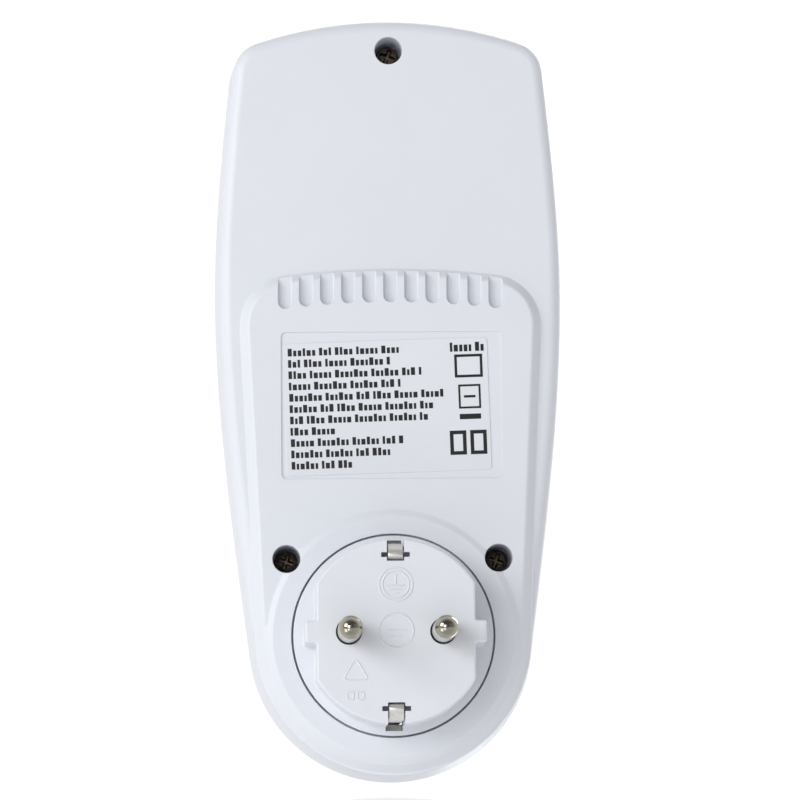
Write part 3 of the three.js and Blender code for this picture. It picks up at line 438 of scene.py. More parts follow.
def bead(path, level, width, height, closed=True):
    """A raised line along a path in X and Z: an ellipse across the path, its centre on the level."""
    path = np.asarray(path, float)
    if closed:
        along = np.roll(path, -1, axis=0) - np.roll(path, 1, axis=0)
    else:
        along = np.gradient(path, axis=0)
    along /= np.linalg.norm(along, axis=1)[:, None]
    across = np.column_stack([-along[:, 1], along[:, 0]])
    turn = np.arange(10) / 10 * 2 * math.pi
    rings = np.zeros((len(path), len(turn), 3))
    rings[:, :, [0, 2]] = path[:, None, :] + across[:, None, :] * (width / 2 * np.cos(turn))[None, :, None]
    rings[:, :, 1] = level + height * np.sin(turn)
    return stitched(rings, closed)


def blocks(places, near, far):
    """Upright blocks: each place is a block's left and right X and its low and high Z."""
    places = np.asarray(places, float)
    round_x_and_z = [(0, 2), (1, 2), (1, 3), (0, 3)]
    corners = np.array([[x, level, z] for level in (0, 1) for x, z in round_x_and_z])
    levels = np.tile(np.array([near, far])[corners[:, 1]], (len(places), 1))
    vertices = np.stack([places[:, corners[:, 0]], levels, places[:, corners[:, 2]]], axis=-1)
    sides = np.array([[0, 1, 2, 3], [7, 6, 5, 4], [0, 4, 5, 1], [1, 5, 6, 2], [2, 6, 7, 3], [3, 7, 4, 0]])
    faces = (np.arange(len(places))[:, None, None] * len(corners) + sides).reshape(-1, 4)
    return vertices.reshape(-1, 3), faces.tolist()


def together(*solids):
    """Separate solids as one set of vertices and faces."""
    vertices, faces, offset = [], [], 0
    for points, sides in solids:
        vertices.append(points)
        faces += [[corner + offset for corner in side] for side in sides]
        offset += len(points)
    return np.vstack(vertices), faces


def turned(solid, angle, about):
    """A solid turned about a line along Y through a point given in X and Z."""
    points, faces = solid
    cos, sin = math.cos(angle), math.sin(angle)
    x, z = points[:, 0] - about[0], points[:, 2] - about[1]
    return np.column_stack([about[0] + cos * x - sin * z, points[:, 1], about[1] + sin * x + cos * z]), faces


def blank(name, solid):
    """An object with a solid as its mesh, its faces pointing out."""
    vertices, faces = solid
    mesh = bpy.data.meshes.new(name)
    mesh.from_pydata(vertices.tolist(), [], faces)
    work = bmesh.new()
    work.from_mesh(mesh)
    bmesh.ops.recalc_face_normals(work, faces=work.faces)
    work.to_mesh(mesh)
    work.free()
    piece = bpy.data.objects.new(name, mesh)
    bpy.context.collection.objects.link(piece)
    return piece


def worked(piece, operation, *solids):
    """The piece with solids joined to it or cut from it. The result has to be closed."""
    tool = blank("tool", together(*solids))
    modifier = piece.modifiers.new("work", "BOOLEAN")
    modifier.operation = operation
    modifier.solver = "MANIFOLD"
    modifier.object = tool
    graph = bpy.context.evaluated_depsgraph_get()
    made = bpy.data.meshes.new_from_object(piece.evaluated_get(graph))
    piece.modifiers.remove(modifier)
    before, piece.data = piece.data, made
    bpy.data.meshes.remove(before)
    bpy.data.meshes.remove(tool.data)
    check = bmesh.new()
    check.from_mesh(made)
    sound = len(check.faces) > 0 and all(edge.is_manifold for edge in check.edges)
    check.free()
    if not sound:
        raise RuntimeError(f"{piece.name}: {operation} left an open mesh")
    made.name = piece.name
    return piece


def cut(piece, *solids):
    """The piece with every solid cut from it, one by one where they touch each other."""
    for solid in solids:
        worked(piece, "DIFFERENCE", solid)
    return piece


def joined(piece, *solids):
    """The piece with every solid joined to it."""
    for solid in solids:
        worked(piece, "UNION", solid)
    return piece


def finished(piece, material, body=METER, nodes=None, sharp=32):
    """Gives a piece its finish and smooth shading, and sets it in the frame in place of its nodes."""
    mesh = piece.data
    mesh.materials.clear()
    mesh.materials.append(material)
    mesh.shade_smooth()
    mesh.set_sharp_from_angle(angle=math.radians(sharp))
    weighting = piece.modifiers.new("face weighting", "WEIGHTED_NORMAL")
    weighting.keep_sharp = True
    weighting.weight = 60
    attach(piece, body)
    if nodes is None:
        nodes = (piece.name.removesuffix("_fine"),)
    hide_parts(*nodes)
    return piece


# ---------------------------------------------------------------------------------------------------
# Finishes
# ---------------------------------------------------------------------------------------------------


def node_of(material, kind, **inputs):
    """A new node in a material, with its named inputs set."""
    node = material.node_tree.nodes.new(kind)
    for name, value in inputs.items():
        node.inputs[name.replace("_", " ")].default_value = value
    return node


def noise_of(material, size, detail=3.0, stretch=(1.0, 1.0, 1.0)):
    """A noise whose features have the given size, drawn out along an axis by its stretch."""
    links = material.node_tree.links
    place = material.node_tree.nodes.new("ShaderNodeTexCoord")
    mapping = material.node_tree.nodes.new("ShaderNodeMapping")
    mapping.inputs["Scale"].default_value = [1 / (size * part) for part in stretch]
    noise = node_of(material, "ShaderNodeTexNoise", Scale=1.0, Detail=detail, Roughness=0.55)
    links.new(place.outputs["Object"], mapping.inputs["Vector"])
    links.new(mapping.outputs["Vector"], noise.inputs["Vector"])
    return noise.outputs["Fac"]


def between(material, driver, low, high):
    """The driver's middle range spread from the low value to the high one."""
    spread = node_of(material, "ShaderNodeMapRange", From_Min=0.3, From_Max=0.7, To_Min=low, To_Max=high)
    material.node_tree.links.new(driver, spread.inputs["Value"])
    return spread.outputs["Result"]


def surface(name, base, roughness, metallic=0.0, grain=0.25 * MM, relief=0.004 * MM, cloud=14 * MM,
            shade=0.03, polish=0.04, stretch=(1.0, 1.0, 1.0), **sockets):
    """A finish whose colour drifts a little over the cloud size, and whose roughness and relief have a
    grain. The relief is the grain's depth."""
    material = bpy.data.materials.new(name)
    material.use_nodes = True
    links = material.node_tree.links
    shader = material.node_tree.nodes["Principled BSDF"]
    shader.inputs["Metallic"].default_value = metallic
    for socket, value in sockets.items():
        shader.inputs[socket.replace("_", " ")].default_value = value
    drift = node_of(material, "ShaderNodeMix")
    drift.data_type = "RGBA"
    drift.inputs["A"].default_value = (*[part * (1 - shade) for part in base], 1)
    drift.inputs["B"].default_value = (*base, 1)
    links.new(between(material, noise_of(material, cloud, 2.0), 0.0, 1.0), drift.inputs["Factor"])
    links.new(drift.outputs["Result"], shader.inputs["Base Color"])
    fine = noise_of(material, grain, 3.0, stretch)
    smoothest = max(roughness - polish, 0.02)
    links.new(between(material, fine, smoothest, roughness + polish), shader.inputs["Roughness"])
    bump = node_of(material, "ShaderNodeBump", Strength=1.0, Distance=relief)
    links.new(fine, bump.inputs["Height"])
    links.new(bump.outputs["Normal"], shader.inputs["Normal"])
    return material


def case_plastic(settings):
    """Satin white moulded plastic with a barely visible spark texture."""
    return surface("case plastic", settings.plastic, settings.roughness, grain=0.3 * MM, relief=0.0012 * MM,
                   shade=0.02, cloud=30 * MM, Specular_IOR_Level=0.45)


def plug_plastic(settings):
    """The plug's slightly glossier white plastic, with faint flow marks."""
    return surface("plug plastic", settings.plastic, 0.36, grain=0.4 * MM, relief=0.0012 * MM, shade=0.025,
                   cloud=9 * MM, Specular_IOR_Level=0.5)


def polished_nickel(settings):
    """Bright nickel plating with fine turning lines round the pins."""
    return surface("pin nickel", settings.nickel, 0.13, 1.0, grain=0.5 * MM, relief=0.0015 * MM, shade=0.08,
                   cloud=2 * MM, polish=0.05, stretch=(4.0, 0.4, 4.0))


def strip_nickel(settings):
    """Nickel plated strip, rolled along its length."""
    return surface("strip nickel", settings.strip, 0.5, 1.0, grain=0.2 * MM, relief=0.004 * MM, shade=0.15,
                   cloud=1.2 * MM, polish=0.1, stretch=(1.0, 5.0, 5.0))


# ---------------------------------------------------------------------------------------------------
# Case
# ---------------------------------------------------------------------------------------------------


def screw_places():
    """The case screws' axes, as X and Z."""
    return [place_of(node) for node in CASE_SCREWS]


def mirrored_places(node):
    """The four places, left and right, of a board's screws."""
    return [place_of(f"{node}_{i}") for i in range(1, 5)]


def half_block(parting, face, edge):
    """One shell's outside: the case's outline drawn in by the draft up to a rounded edge and a face."""
    draft = abs(face - parting) * DRAFT
    profile = softened([(0, parting), (draft, face), (draft + 2 * edge, face)], edge, 10)
    return carried(inset_of(case_outline()), profile[:-1])


def half_hollow(near, floor):
    """One shell's inside, rounded along its floor."""
    direction = 1 if floor > near else -1
    inset, corner = 2.9 * MM, 2 * MM
    line = [(inset, near - direction * 5 * MM), (inset, floor), (6.5 * MM, floor)]
    return carried(inset_of(case_outline()), softened(line, corner, 5)[:-1])


def vent_shape(x, z, half_width, top):
    """A vent groove's outline: a half circle at its lower end and straight sides up to its open top."""

    def shape(inset):
        half = half_width - inset
        low = arc((x, z), half, math.pi, 2 * math.pi, 16, whole=True)
        return np.vstack([low, [(x + half, top), (x - half, top)]])

    return shape


def vents(settings):
    """Eleven grooves across the pad's top edge, set on an arc like the edge itself."""
    half = settings.vent_width / 2
    bottom, arch = 68.9 * MM, 360 * MM
    mouth, foot = 0.12 * MM, 0.25 * MM
    floor = PAD_Y - settings.vent_depth
    line = [(-mouth, PAD_Y + mouth), (-mouth, PAD_Y), (0, PAD_Y - mouth), (0, floor), (2 * foot, floor)]
    profile = [(-mouth, PLUG_Y), *softened(line, foot)[:-1]]
    grooves = []
    for index in range(-5, 6):
        x = index * settings.vent_pitch
        z = bottom - x * x / arch + half
        grooves.append(carried(vent_shape(x, z, half, z + 9 * MM), profile))
    return together(*grooves)


def mouthed(shape, level, floor, mouth):
    """A hole's tool: the outline, opened out in a small curve where it meets the surface's level."""
    line = [(-mouth, level + mouth), (-mouth, level), (0, level - mouth), (0, level - 3 * mouth)]
    return carried(shape, [(-mouth, level + 6 * MM), *softened(line, mouth * 0.6), (0, floor)])


def rear_cover(settings):
    """The wall-side shell: pad, collar, vents, label recess and screw wells, with bosses inside."""
    piece = blank("rear_cover_fine", half_block(PARTING_Y, PANEL_Y, settings.rear_edge))
    slope, soft = settings.pad_slope, settings.pad_softness
    foot = slope + 0.5 * MM  # stays inside the drafted side, which is close below the plug
    pad_profile = softened(
        [(-foot, PANEL_Y - 0.08 * MM), (-slope, PANEL_Y), (0, PAD_Y), (3 * MM, PAD_Y)], soft, 7
    )
    pad_shape = inset_of(pad_outline(settings.pad_radius))
    pad = carried(pad_shape, [(-foot, PANEL_Y - 3 * MM), *pad_profile[:-1]])
    collar_ridge = settings.pad_radius - 0.1 * MM
    collar = carried(
        circle(settings.collar_radius, steps=128),
        [
            (0.5 * MM, PANEL_Y),
            (settings.collar_radius - collar_ridge, PAD_Y - 0.5 * MM),
            (settings.collar_radius - collar_ridge, PAD_Y - 0.02 * MM),
            *softened([(-0.8 * MM, (PAD_Y + COLLAR_Y) / 2), (0, COLLAR_Y), (1.5 * MM, COLLAR_Y)], 0.15 * MM),
        ],
    )
    joined(piece, pad, collar)
    pad_inside = inset_of(drawn_in(pad_outline(settings.pad_radius), 2 * MM))
    cut(
        piece,
        half_hollow(PARTING_Y, PANEL_Y - WALL),
        straight(pad_inside, PAD_Y - WALL, PANEL_Y - 4 * MM),
        straight(circle(23 * MM), COLLAR_Y - 2 * MM, PANEL_Y - 4 * MM),
    )
    outline = inset_of(case_outline())
    tongue = carried(
        outline,
        [(1.25 * MM, PARTING_Y + 3 * MM), (1.25 * MM, PARTING_Y - TONGUE), (WALL, PARTING_Y - TONGUE),
         (3.4 * MM, PARTING_Y + 3 * MM)],
        closed=True,
    )
    board_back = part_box("mains_board")[1].y
    board_screws = mirrored_places("mains_screw")
    joined(
        piece,
        tongue,
        rods(screw_places(), 4.5 * MM, PANEL_Y - MM, SCREW_FLOOR_Y - 2 * MM),
        rods(board_screws, POST_RADIUS, PANEL_Y - MM, board_back + 0.3 * MM, 24),
    )
    levels = [PANEL_Y, PAD_Y, PAD_Y]
    wells = [mouthed(circle(settings.well_radius, x, z), level, SCREW_FLOOR_Y, 0.12 * MM)
             for (x, z), level in zip(screw_places(), levels)]
    recess_shape = rectangle(45.3 * MM, 30.3 * MM, MM, 0, 47.5 * MM, 10)
    recess = mouthed(recess_shape, PAD_Y, PAD_Y - LABEL_DEPTH, 0.08 * MM)
    cut(
        piece,
        together(*wells),
        rods(screw_places(), 1.7 * MM, SCREW_FLOOR_Y + 2 * MM, -FAR, 24),
        rods(board_screws, POST_BORE, board_back + 5 * MM, -FAR, 16),
        mouthed(circle(settings.opening_radius, steps=128), COLLAR_Y, -FAR, 0.1 * MM),
        recess,
        vents(settings),
    )
    return piece


def front_cover(case, display):
    """The room-side shell: display recess and window, key holes, reset hole and socket opening."""
    rim = PARTING_Y - PARTING_GAP
    piece = blank("front_cover_fine", half_block(rim, FRONT_Y, case.front_edge))
    cut(
        piece,
        half_hollow(rim, FRONT_Y + WALL),
        straight(inset_of(drawn_in(case_outline(), 0.95 * MM)), FAR, rim - 1.4 * MM),
    )
    inner = FRONT_Y + MM
    board_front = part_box("display_board")[0].y
    board_screws = mirrored_places("display_screw")
    joined(
        piece,
        rods(screw_places(), 3.6 * MM, FRONT_HIGH.y, inner, 32),
        rods(board_screws, POST_RADIUS, board_front - 0.3 * MM, inner, 24),
    )

    def opening(shape, level, mouth=0.25 * MM):
        """A hole through the front, opened out where it meets the level."""
        line = [(-mouth, level - mouth), (-mouth, level), (0, level + mouth), (0, level + 3 * mouth)]
        edge = softened(line, mouth * 0.6)
        return carried(shape, [(-mouth, FRONT_Y - 6 * MM), *edge, (0, FRONT_Y + 6 * MM)])

    recess_floor = FRONT_Y + 0.6 * MM
    lip = 0.3 * MM
    line = [(-lip, FRONT_Y - lip), (-lip, FRONT_Y), (lip, recess_floor), (4 * lip, recess_floor)]
    recess_profile = [(-lip, FRONT_Y - 6 * MM), *softened(line, 0.25 * MM)]
    recess_shape = rectangle(display.recess_width, display.recess_height, 4 * MM, 0, DISPLAY_Z, 10)
    recess = carried(recess_shape, recess_profile)
    window = opening(rectangle(46 * MM, 31 * MM, 1.5 * MM, 0, DISPLAY_Z), recess_floor, 0.2 * MM)
    key_holes = [opening(rectangle(10 * MM, 7 * MM, 2.45 * MM, *place_of(node), 8), FRONT_Y) for node in KEYS]
    reset_hole = opening(circle(1.85 * MM, *place_of("reset_button"), 32), FRONT_Y)
    socket = opening(circle(21.6 * MM, steps=128), FRONT_Y, 0.35 * MM)
    cut(
        piece,
        recess,
        together(window, *key_holes, reset_hole, socket),
        rods(screw_places(), 1.6 * MM, 0, FRONT_Y + WALL, 16),
        rods(board_screws, POST_BORE, 0, FRONT_Y + WALL + MM, 16),
    )
    return piece


def case_screw(node):
    """A dark pan-head screw: a low dome with a cross recess, and a ridged shank below it."""
    low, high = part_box(node)
    (x, z), top = place_of(node), high.y
    head_radius, head_height, shank_radius = (high.x - low.x) / 2, 2.2 * MM, 1.35 * MM
    head_profile = softened(
        [(0.4 * MM, top - head_height), (0, top - head_height), (0, top - 0.5 * MM),
         (1.3 * MM, top - 0.02 * MM), (head_radius - 0.3 * MM, top)],
        0.7 * MM, 6,
    )
    piece = blank(f"{node}_fine", carried(circle(head_radius, x, z, 56), head_profile))
    pitch = MM
    turns = np.arange(int((top - head_height - low.y) / pitch * 2) - 1)
    ridge = np.where(turns % 2, 0.0, 0.3 * MM)
    levels = top - head_height + 0.3 * MM - turns * pitch / 2
    shank = np.column_stack([ridge, levels])
    shank[0, 0] = 0.3 * MM
    tip = [(0.7 * MM, low.y)]
    joined(piece, carried(circle(shank_radius, x, z, 24), [*shank, *tip]))
    arm, half_arm, depth = 1.65 * MM, 0.42 * MM, 1.4 * MM
    recess = [
        (-0.12 * MM, top + MM), (-0.12 * MM, top), (0.02 * MM, top - 0.35 * MM), (0.26 * MM, top - depth),
    ]
    bowl = [(0, top + MM), (0, top), (0.5 * MM, top - depth)]
    slots = [carried(rectangle(2 * across, 2 * up, 0.2 * MM, x, z), recess)
             for across, up in ((arm, half_arm), (half_arm, arm))]
    cross = [turned(slot, math.radians(20), (x, z)) for slot in slots]
    return cut(piece, *cross, carried(circle(0.85 * MM, x, z, 24), bowl))


# ---------------------------------------------------------------------------------------------------
# Plug
# ---------------------------------------------------------------------------------------------------


def earth_tools(side):
    """The channel that an earth strip lies in, and the stepped slot in the end face for its hooked end."""
    half = extent("upper_earth_strip").x / 2 + 0.25 * MM

    def slot(half_width, z0, z1, floor):
        span = sorted((side * z0, side * z1))
        return blocks([[-half_width, half_width, *span]], floor, MM)

    return [
        slot(half, 16.75 * MM, 19.5 * MM, -FAR),
        slot(half, 14.25 * MM, 17 * MM, PLUG_Y - 2.6 * MM),
        slot(half, 14.25 * MM, 15.7 * MM, PLUG_Y - 4 * MM),
        slot(2.9 * MM, 15 * MM, 16 * MM, PLUG_Y - 4 * MM),
    ]


def plug_marks(settings):
    """Raised marks on the end face: an earth symbol, a ring with a bar, and a rounded triangle with bars."""
    level, width, height = PLUG_Y, settings.mark_width, settings.mark_height

    def line(start, end):
        path = np.linspace(np.array(start) * MM, np.array(end) * MM, 4)
        return bead(path, level, width, height, closed=False)

    def round_line(x, z, radius):
        return bead(arc((x * MM, z * MM), radius * MM, 0, 2 * math.pi, 64), level, width, height)

    earth = [
        round_line(0, 9.5, 3.4),
        round_line(0, 9.5, 2.7),
        line((0, 11.5), (0, 9.6)),
        line((-1.7, 9.3), (1.7, 9.3)),
        line((-1.1, 8.5), (1.1, 8.5)),
        line((-0.5, 7.7), (0.5, 7.7)),
    ]
    ring = [round_line(0, 0.2, 3.5), line((-1.9, 0.2), (1.9, 0.2)), line((-1.2, -1), (1.2, -1))]
    corners = round_triangle((8.2 * MM, -8.3 * MM), 3.1 * MM, math.pi / 2, 1.2 * MM, 6)
    triangle = bead(corners, level, width, height)
    boxes = [bead(rectangle(1.3 * MM, 1.5 * MM, 0.4 * MM, x * MM, -12.9 * MM)(0), level, width, height)
             for x in (7.2, 9.3)]
    return [*earth, *ring, triangle, *boxes]


def plug_base(settings):
    """The plug's boss on its disc, with a flange inside the case, bores for the pins and earth slots."""
    boss_foot = COLLAR_Y + 0.2 * MM
    outline = boss_outline(settings)
    edge = settings.edge
    profile = softened([(0, boss_foot - 1.2 * MM), (0, PLUG_Y), (3 * edge, PLUG_Y)], edge, 6)[:-1]
    foot = 0.35 * MM
    flare_line = [
        (-foot, boss_foot - 0.5 * MM), (-foot, boss_foot), (0, boss_foot + foot), (0, boss_foot + 1.5 * MM),
    ]
    flare = softened(flare_line, foot * 0.5, 4)
    piece = blank("plug_base_fine", carried(inset_of(outline), [*flare, *profile[1:]]))
    disc_radius = 20.5 * MM
    disc_profile = softened([(0, -19.6 * MM), (0, boss_foot), (1.2 * MM, boss_foot)], 0.12 * MM, 4)
    flange = straight(circle(22 * MM, steps=96), -19.5 * MM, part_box("plug_base")[0].y)
    joined(piece, carried(circle(disc_radius, steps=128), disc_profile), flange, *plug_marks(settings))
    tools = []
    pin_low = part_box("live_pin")[0].y
    for side in (-1, 1):
        x = side * PIN_X
        tools.append(mouthed(circle(2.58 * MM, x, 0), PLUG_Y, -FAR, 0.12 * MM))
        tools.append(straight(circle(4.3 * MM, x, 0), pin_low + 1.9 * MM, -FAR))
        tools.append(blocks([[x - 2.8 * MM, x + 2.8 * MM, -2.8 * MM, FAR]], pin_low, -FAR))
        tools += earth_tools(side)
    return cut(piece, *tools)


def plug_pin(node, settings):
    """A pin with a round tip, on the flange that holds it in the plug."""
    low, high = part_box(node)
    x, radius = middle(node).x, settings.pin_radius
    tip = arc((0, high.y - radius), radius, 0, math.pi / 2, 14, whole=True)
    tip = np.column_stack([radius - np.maximum(tip[:, 0], 0.02 * MM), tip[:, 1]])
    flange = 1.6 * MM
    root = [(radius - 4 * MM, low.y), (radius - 4 * MM, low.y + flange), (0, low.y + flange), (0, 0)]
    return blank(f"{node}_fine", carried(circle(radius, x, 0, 64), [*root, *tip]))


def earth_strip(node, side):
    """A nickel plated strip hooked over the end face, along the boss and on to the socket's sprung clip."""
    low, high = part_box(node)
    thickness = 0.8 * MM
    face = high.y - thickness / 2
    along = 17.4 * MM
    hook = 14.95 * MM
    path = softened(
        [(PLUG_Y - 3.7 * MM, hook), (face, hook), (face, 16.1 * MM), (-2.2 * MM, along), (-41.7 * MM, along),
         (-48 * MM, 16.4 * MM), (-53 * MM, 18.2 * MM)],
        [0, 0.5 * MM, 0.6 * MM, 0.6 * MM, MM, 2 * MM, 0], 6,
    )
    path[:, 1] *= side
    section = rectangle(high.x - low.x, thickness, 0.14 * MM, steps=3)(0)
    return blank(f"{node}_fine", swept(path, section))


# ---------------------------------------------------------------------------------------------------
# Rating label
# ---------------------------------------------------------------------------------------------------


def label_face():
    """The level of the label's printed face: the film lies on the floor of its recess."""
    return PAD_Y - LABEL_DEPTH + 0.16 * MM


def label_film(settings):
    """The label's thin film, its edge slightly rounded, turned a little in its recess."""
    centre = place_of("rating_label")
    shape = rectangle(settings.width, settings.height, settings.corner, *centre, 8)
    back, face = PAD_Y - LABEL_DEPTH + 0.01 * MM, label_face()
    profile = softened([(0, back), (0, face), (0.4 * MM, face)], 0.06 * MM, 3)
    return blank("rating_label_fine", turned(carried(shape, profile[:-1]), settings.tilt, centre))


def printed_line(start, end, base, tall, first_word=0):
    """One line of print as plain blocks, in words of changing length. A word's first block is tall."""
    places = []
    x, index = start, first_word
    words = (6, 4, 7, 3, 5)
    while x > end + 0.5 * MM:
        for place in range(words[index * 3 % len(words)]):
            width = (0.85, 0.66, 0.74, 0.52)[(index + place) % 4] * MM
            high = tall if place == 0 or (index + place) % 5 == 3 else 0.74 * tall
            if x - width < end:
                return places
            places.append([x - width, x, base, base + high])
            x -= width + 0.28 * MM
        x -= 0.5 * MM
        index += 1
    return places


def frame_blocks(x, z, width, height, line):
    """The four sides of an upright outline."""
    left, right, low, high = x - width / 2, x + width / 2, z - height / 2, z + height / 2
    return [
        [left, right, low, low + line],
        [left, right, high - line, high],
        [left, left + line, low + line, high - line],
        [right - line, right, low + line, high - line],
    ]


def label_print(settings):
    """The label's print: eleven lines of plain blocks, and a column of plain outlines and bars."""
    centre = place_of("rating_label")
    start = centre[0] + settings.width / 2 - 1.05 * MM
    first = centre[1] + 11.05 * MM
    lengths = (23.6, 21, 28.5, 23.3, 32.3, 29.6, 29.3, 10.2, 23.2, 21.1, 12.8)
    places = []
    for index, line in enumerate(lengths):
        base = first - index * settings.line_pitch
        places += printed_line(start, start - line * MM, base, settings.bar_height, index)
    column, level = centre[0] - 17.1 * MM, centre[1]
    places += printed_line(column + 3.7 * MM, column - 3.7 * MM, level + 10.9 * MM, 1.9 * MM, 3)
    places += frame_blocks(column, level + 7.9 * MM, 5.8 * MM, 4.8 * MM, 0.55 * MM)
    places += frame_blocks(column, level + 1.55 * MM, 4.6 * MM, 5 * MM, 0.42 * MM)
    places += [[column - 1.2 * MM, column + 1.2 * MM, level + 1.3 * MM, level + 1.8 * MM]]
    places += [[column - 2.2 * MM, column + 2.2 * MM, level - 3.15 * MM, level - 2.05 * MM]]
    for side in (-1, 1):
        x = column + (0.6 + side * 2.1) * MM
        places += frame_blocks(x, level - 7.95 * MM, 3.4 * MM, 5 * MM, 0.75 * MM)
    face = label_face()
    ink = blocks(places, face - 0.02 * MM, face + 0.012 * MM)
    return blank("label_print", turned(ink, settings.tilt, centre))


# ---------------------------------------------------------------------------------------------------
# Socket
# ---------------------------------------------------------------------------------------------------


def socket_well():
    """The socket's round well with its rim, guide ribs, pin holes and slots for the earth clips."""
    floor, back = WELL_FLOOR_Y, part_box("socket_well")[1].y
    outer, inner = 21.3 * MM, 19.5 * MM
    rim = outer - inner
    profile = softened(
        [(0, WELL_BACK_Y), (0, FRONT_Y), (rim, FRONT_Y), (rim, floor), (rim + 3 * MM, floor)],
        [0, 0.4 * MM, 0.5 * MM, 0.5 * MM, 0], 5,
    )
    piece = blank("socket_well_fine", carried(circle(outer, steps=128), profile))
    flange_front = FRONT_Y + WALL + 0.3 * MM
    flange_back = flange_front + 1.4 * MM
    flange = carried(
        circle(23 * MM, steps=96),
        [(0, flange_front), (0, flange_back), (2.4 * MM, flange_back), (2.4 * MM, flange_front)],
        closed=True,
    )
    screw_z = 12.5 * MM
    bosses = rods([(0, -screw_z), (0, screw_z)], 2.6 * MM, back, floor + MM, 24)
    rib_places = [sorted((x * 17.2 * MM, x * 20 * MM)) + sorted((z * 3 * MM, z * 5.4 * MM))
                  for x in (-1, 1) for z in (-1, 1)]
    ribs = [blocks([place], FRONT_Y + 2 * MM, floor + 0.5 * MM) for place in rib_places]
    joined(piece, flange, bosses, together(*ribs))
    tools = []
    for side in (-1, 1):
        hole = circle(3 * MM, side * PIN_X, 0, 48)
        mouth = 0.5 * MM
        tools.append(carried(hole, [(-mouth, floor - MM), (-mouth, floor), (0, floor + mouth), (0, FAR)]))
        tools.append(straight(circle(1.4 * MM, 0, side * screw_z, 16), 0, floor + 0.7 * MM))
        span = sorted((side * 16.6 * MM, side * 18.2 * MM))
        tools.append(blocks([[-2.3 * MM, 2.3 * MM, *span]], 0, -45 * MM))
    return cut(piece, *tools)


# ---------------------------------------------------------------------------------------------------
# Display and keys
# ---------------------------------------------------------------------------------------------------

SEGMENTS = {"0": "abcdef", "1": "bc", "2": "abged"}


def digit(text, x, z, height, line):
    """A seven-segment digit. Each segment is a block, and x and z are the digit's lower left corner."""
    width = height * 0.5
    half = height / 2
    gap = line * 0.15
    upright = {"f": (0, 1), "b": (1, 1), "e": (0, 0), "c": (1, 0)}
    level = {"d": 0, "g": 1, "a": 2}
    places = []
    for name in SEGMENTS[text]:
        if name in level:
            low = z + level[name] * half - line / 2
            places.append([x + line / 2 + gap, x + width - line / 2 - gap, low, low + line])
        else:
            across, up = upright[name]
            centre = x + across * width
            places.append([centre - line / 2, centre + line / 2, z + up * half + line / 2 + gap,
                           z + (up + 1) * half - line / 2 - gap])
    return places


def display_digits(settings):
    """Three rows of plain digits on the display's glass."""
    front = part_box("lcd_panel")[0].y
    places = []
    rows = (
        ("0000", -14 * MM, -4 * MM, settings.digit_height, 1.1 * MM),
        ("1200", -19 * MM, 8.5 * MM, 4 * MM, 0.55 * MM),
        ("0000", 3 * MM, -13 * MM, 4 * MM, 0.55 * MM),
    )
    for text, x, z, height, line in rows:
        for place, value in enumerate(text):
            places += digit(value, x + place * height * 0.8, DISPLAY_Z + z, height, line)
    dot = 1.2 * MM
    x, z = -14 * MM + 2.82 * settings.digit_height * 0.8, DISPLAY_Z - 4.5 * MM
    places.append([x - dot / 2, x + dot / 2, z, z + dot])
    return blank("display_digits", blocks(places, front + 0.02 * MM, front - 0.03 * MM))


def display_window():
    """The clear window with a rounded front edge, and the flange that holds it behind the cover."""
    low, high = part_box("lcd_window")
    plate = rectangle(45.4 * MM, 30.4 * MM, 1.3 * MM, 0, DISPLAY_Z, 8)
    inner = high.y - 0.8 * MM
    profile = softened([(0, inner), (0, low.y), (MM, low.y)], 0.25 * MM, 4)[:-1]
    piece = blank("lcd_window_fine", carried(plate, profile))
    flange = straight(rectangle(high.x - low.x, high.z - low.z, MM, 0, DISPLAY_Z), inner, high.y)
    return joined(piece, flange)


def kept_in(piece, flange, stem, stem_end):
    """A button with the flange that keeps it behind the cover and the stem that reaches its switch."""
    return joined(
        piece,
        straight(flange, KEY_FLANGE_BACK_Y, KEY_FLANGE_FRONT_Y),
        straight(stem, stem_end, KEY_FLANGE_BACK_Y - 0.1 * MM),
    )


def key_cap(node, settings):
    """A key: a soft-edged dished cap, a flange behind the cover and a stem to the switch."""
    low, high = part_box(node)
    x, z = place_of(node)
    top, crown = low.y, settings.crown
    cap = rectangle(9.5 * MM, 6.5 * MM, 2.2 * MM, x, z, 10)
    profile = softened([(0, KEY_FLANGE_BACK_Y), (0, top), (2 * crown, top)], crown, 7)[:-1]
    piece = blank(f"{node}_fine", carried(cap, [*profile, (2.6 * MM, top + 0.1 * MM)]))
    flange = rectangle(high.x - low.x, high.z - low.z, 2 * MM, x, z)
    return kept_in(piece, flange, circle(1.8 * MM, x, z, 32), high.y)


def key_mark(node):
    """A raised mark on a key's cap: a ring, an arrow up, an arrow down or a ring with a dot."""
    (x, z), level = place_of(node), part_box(node)[0].y + 0.1 * MM
    width, height = 0.32 * MM, 0.06 * MM
    point = 1.15 * MM
    if node in ("up_key", "down_key"):
        start = math.pi / 2 if node == "up_key" else -math.pi / 2
        path = round_triangle((x, z), point, start, 0.15 * MM, 3)
    else:
        path = arc((x, z), point, 0, 2 * math.pi, 32)
    solids = [bead(path, level, width, height)]
    if node == "cost_key":
        solids.append(carried(circle(0.35 * MM, x, z, 20), [(0, level + 0.05 * MM), (0, level - 0.05 * MM)]))
    return blank(f"{node}_mark", together(*solids))


def reset_button():
    """The small reset button, set just below the front face."""
    low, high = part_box("reset_button")
    x, z = place_of("reset_button")
    profile = softened([(0, KEY_FLANGE_BACK_Y), (0, low.y), (1.2 * MM, low.y)], 0.4 * MM, 6)
    piece = blank("reset_button_fine", carried(circle(1.6 * MM, x, z, 40), profile))
    return kept_in(piece, circle(2.8 * MM, x, z, 40), circle(1.4 * MM, x, z, 24), high.y)


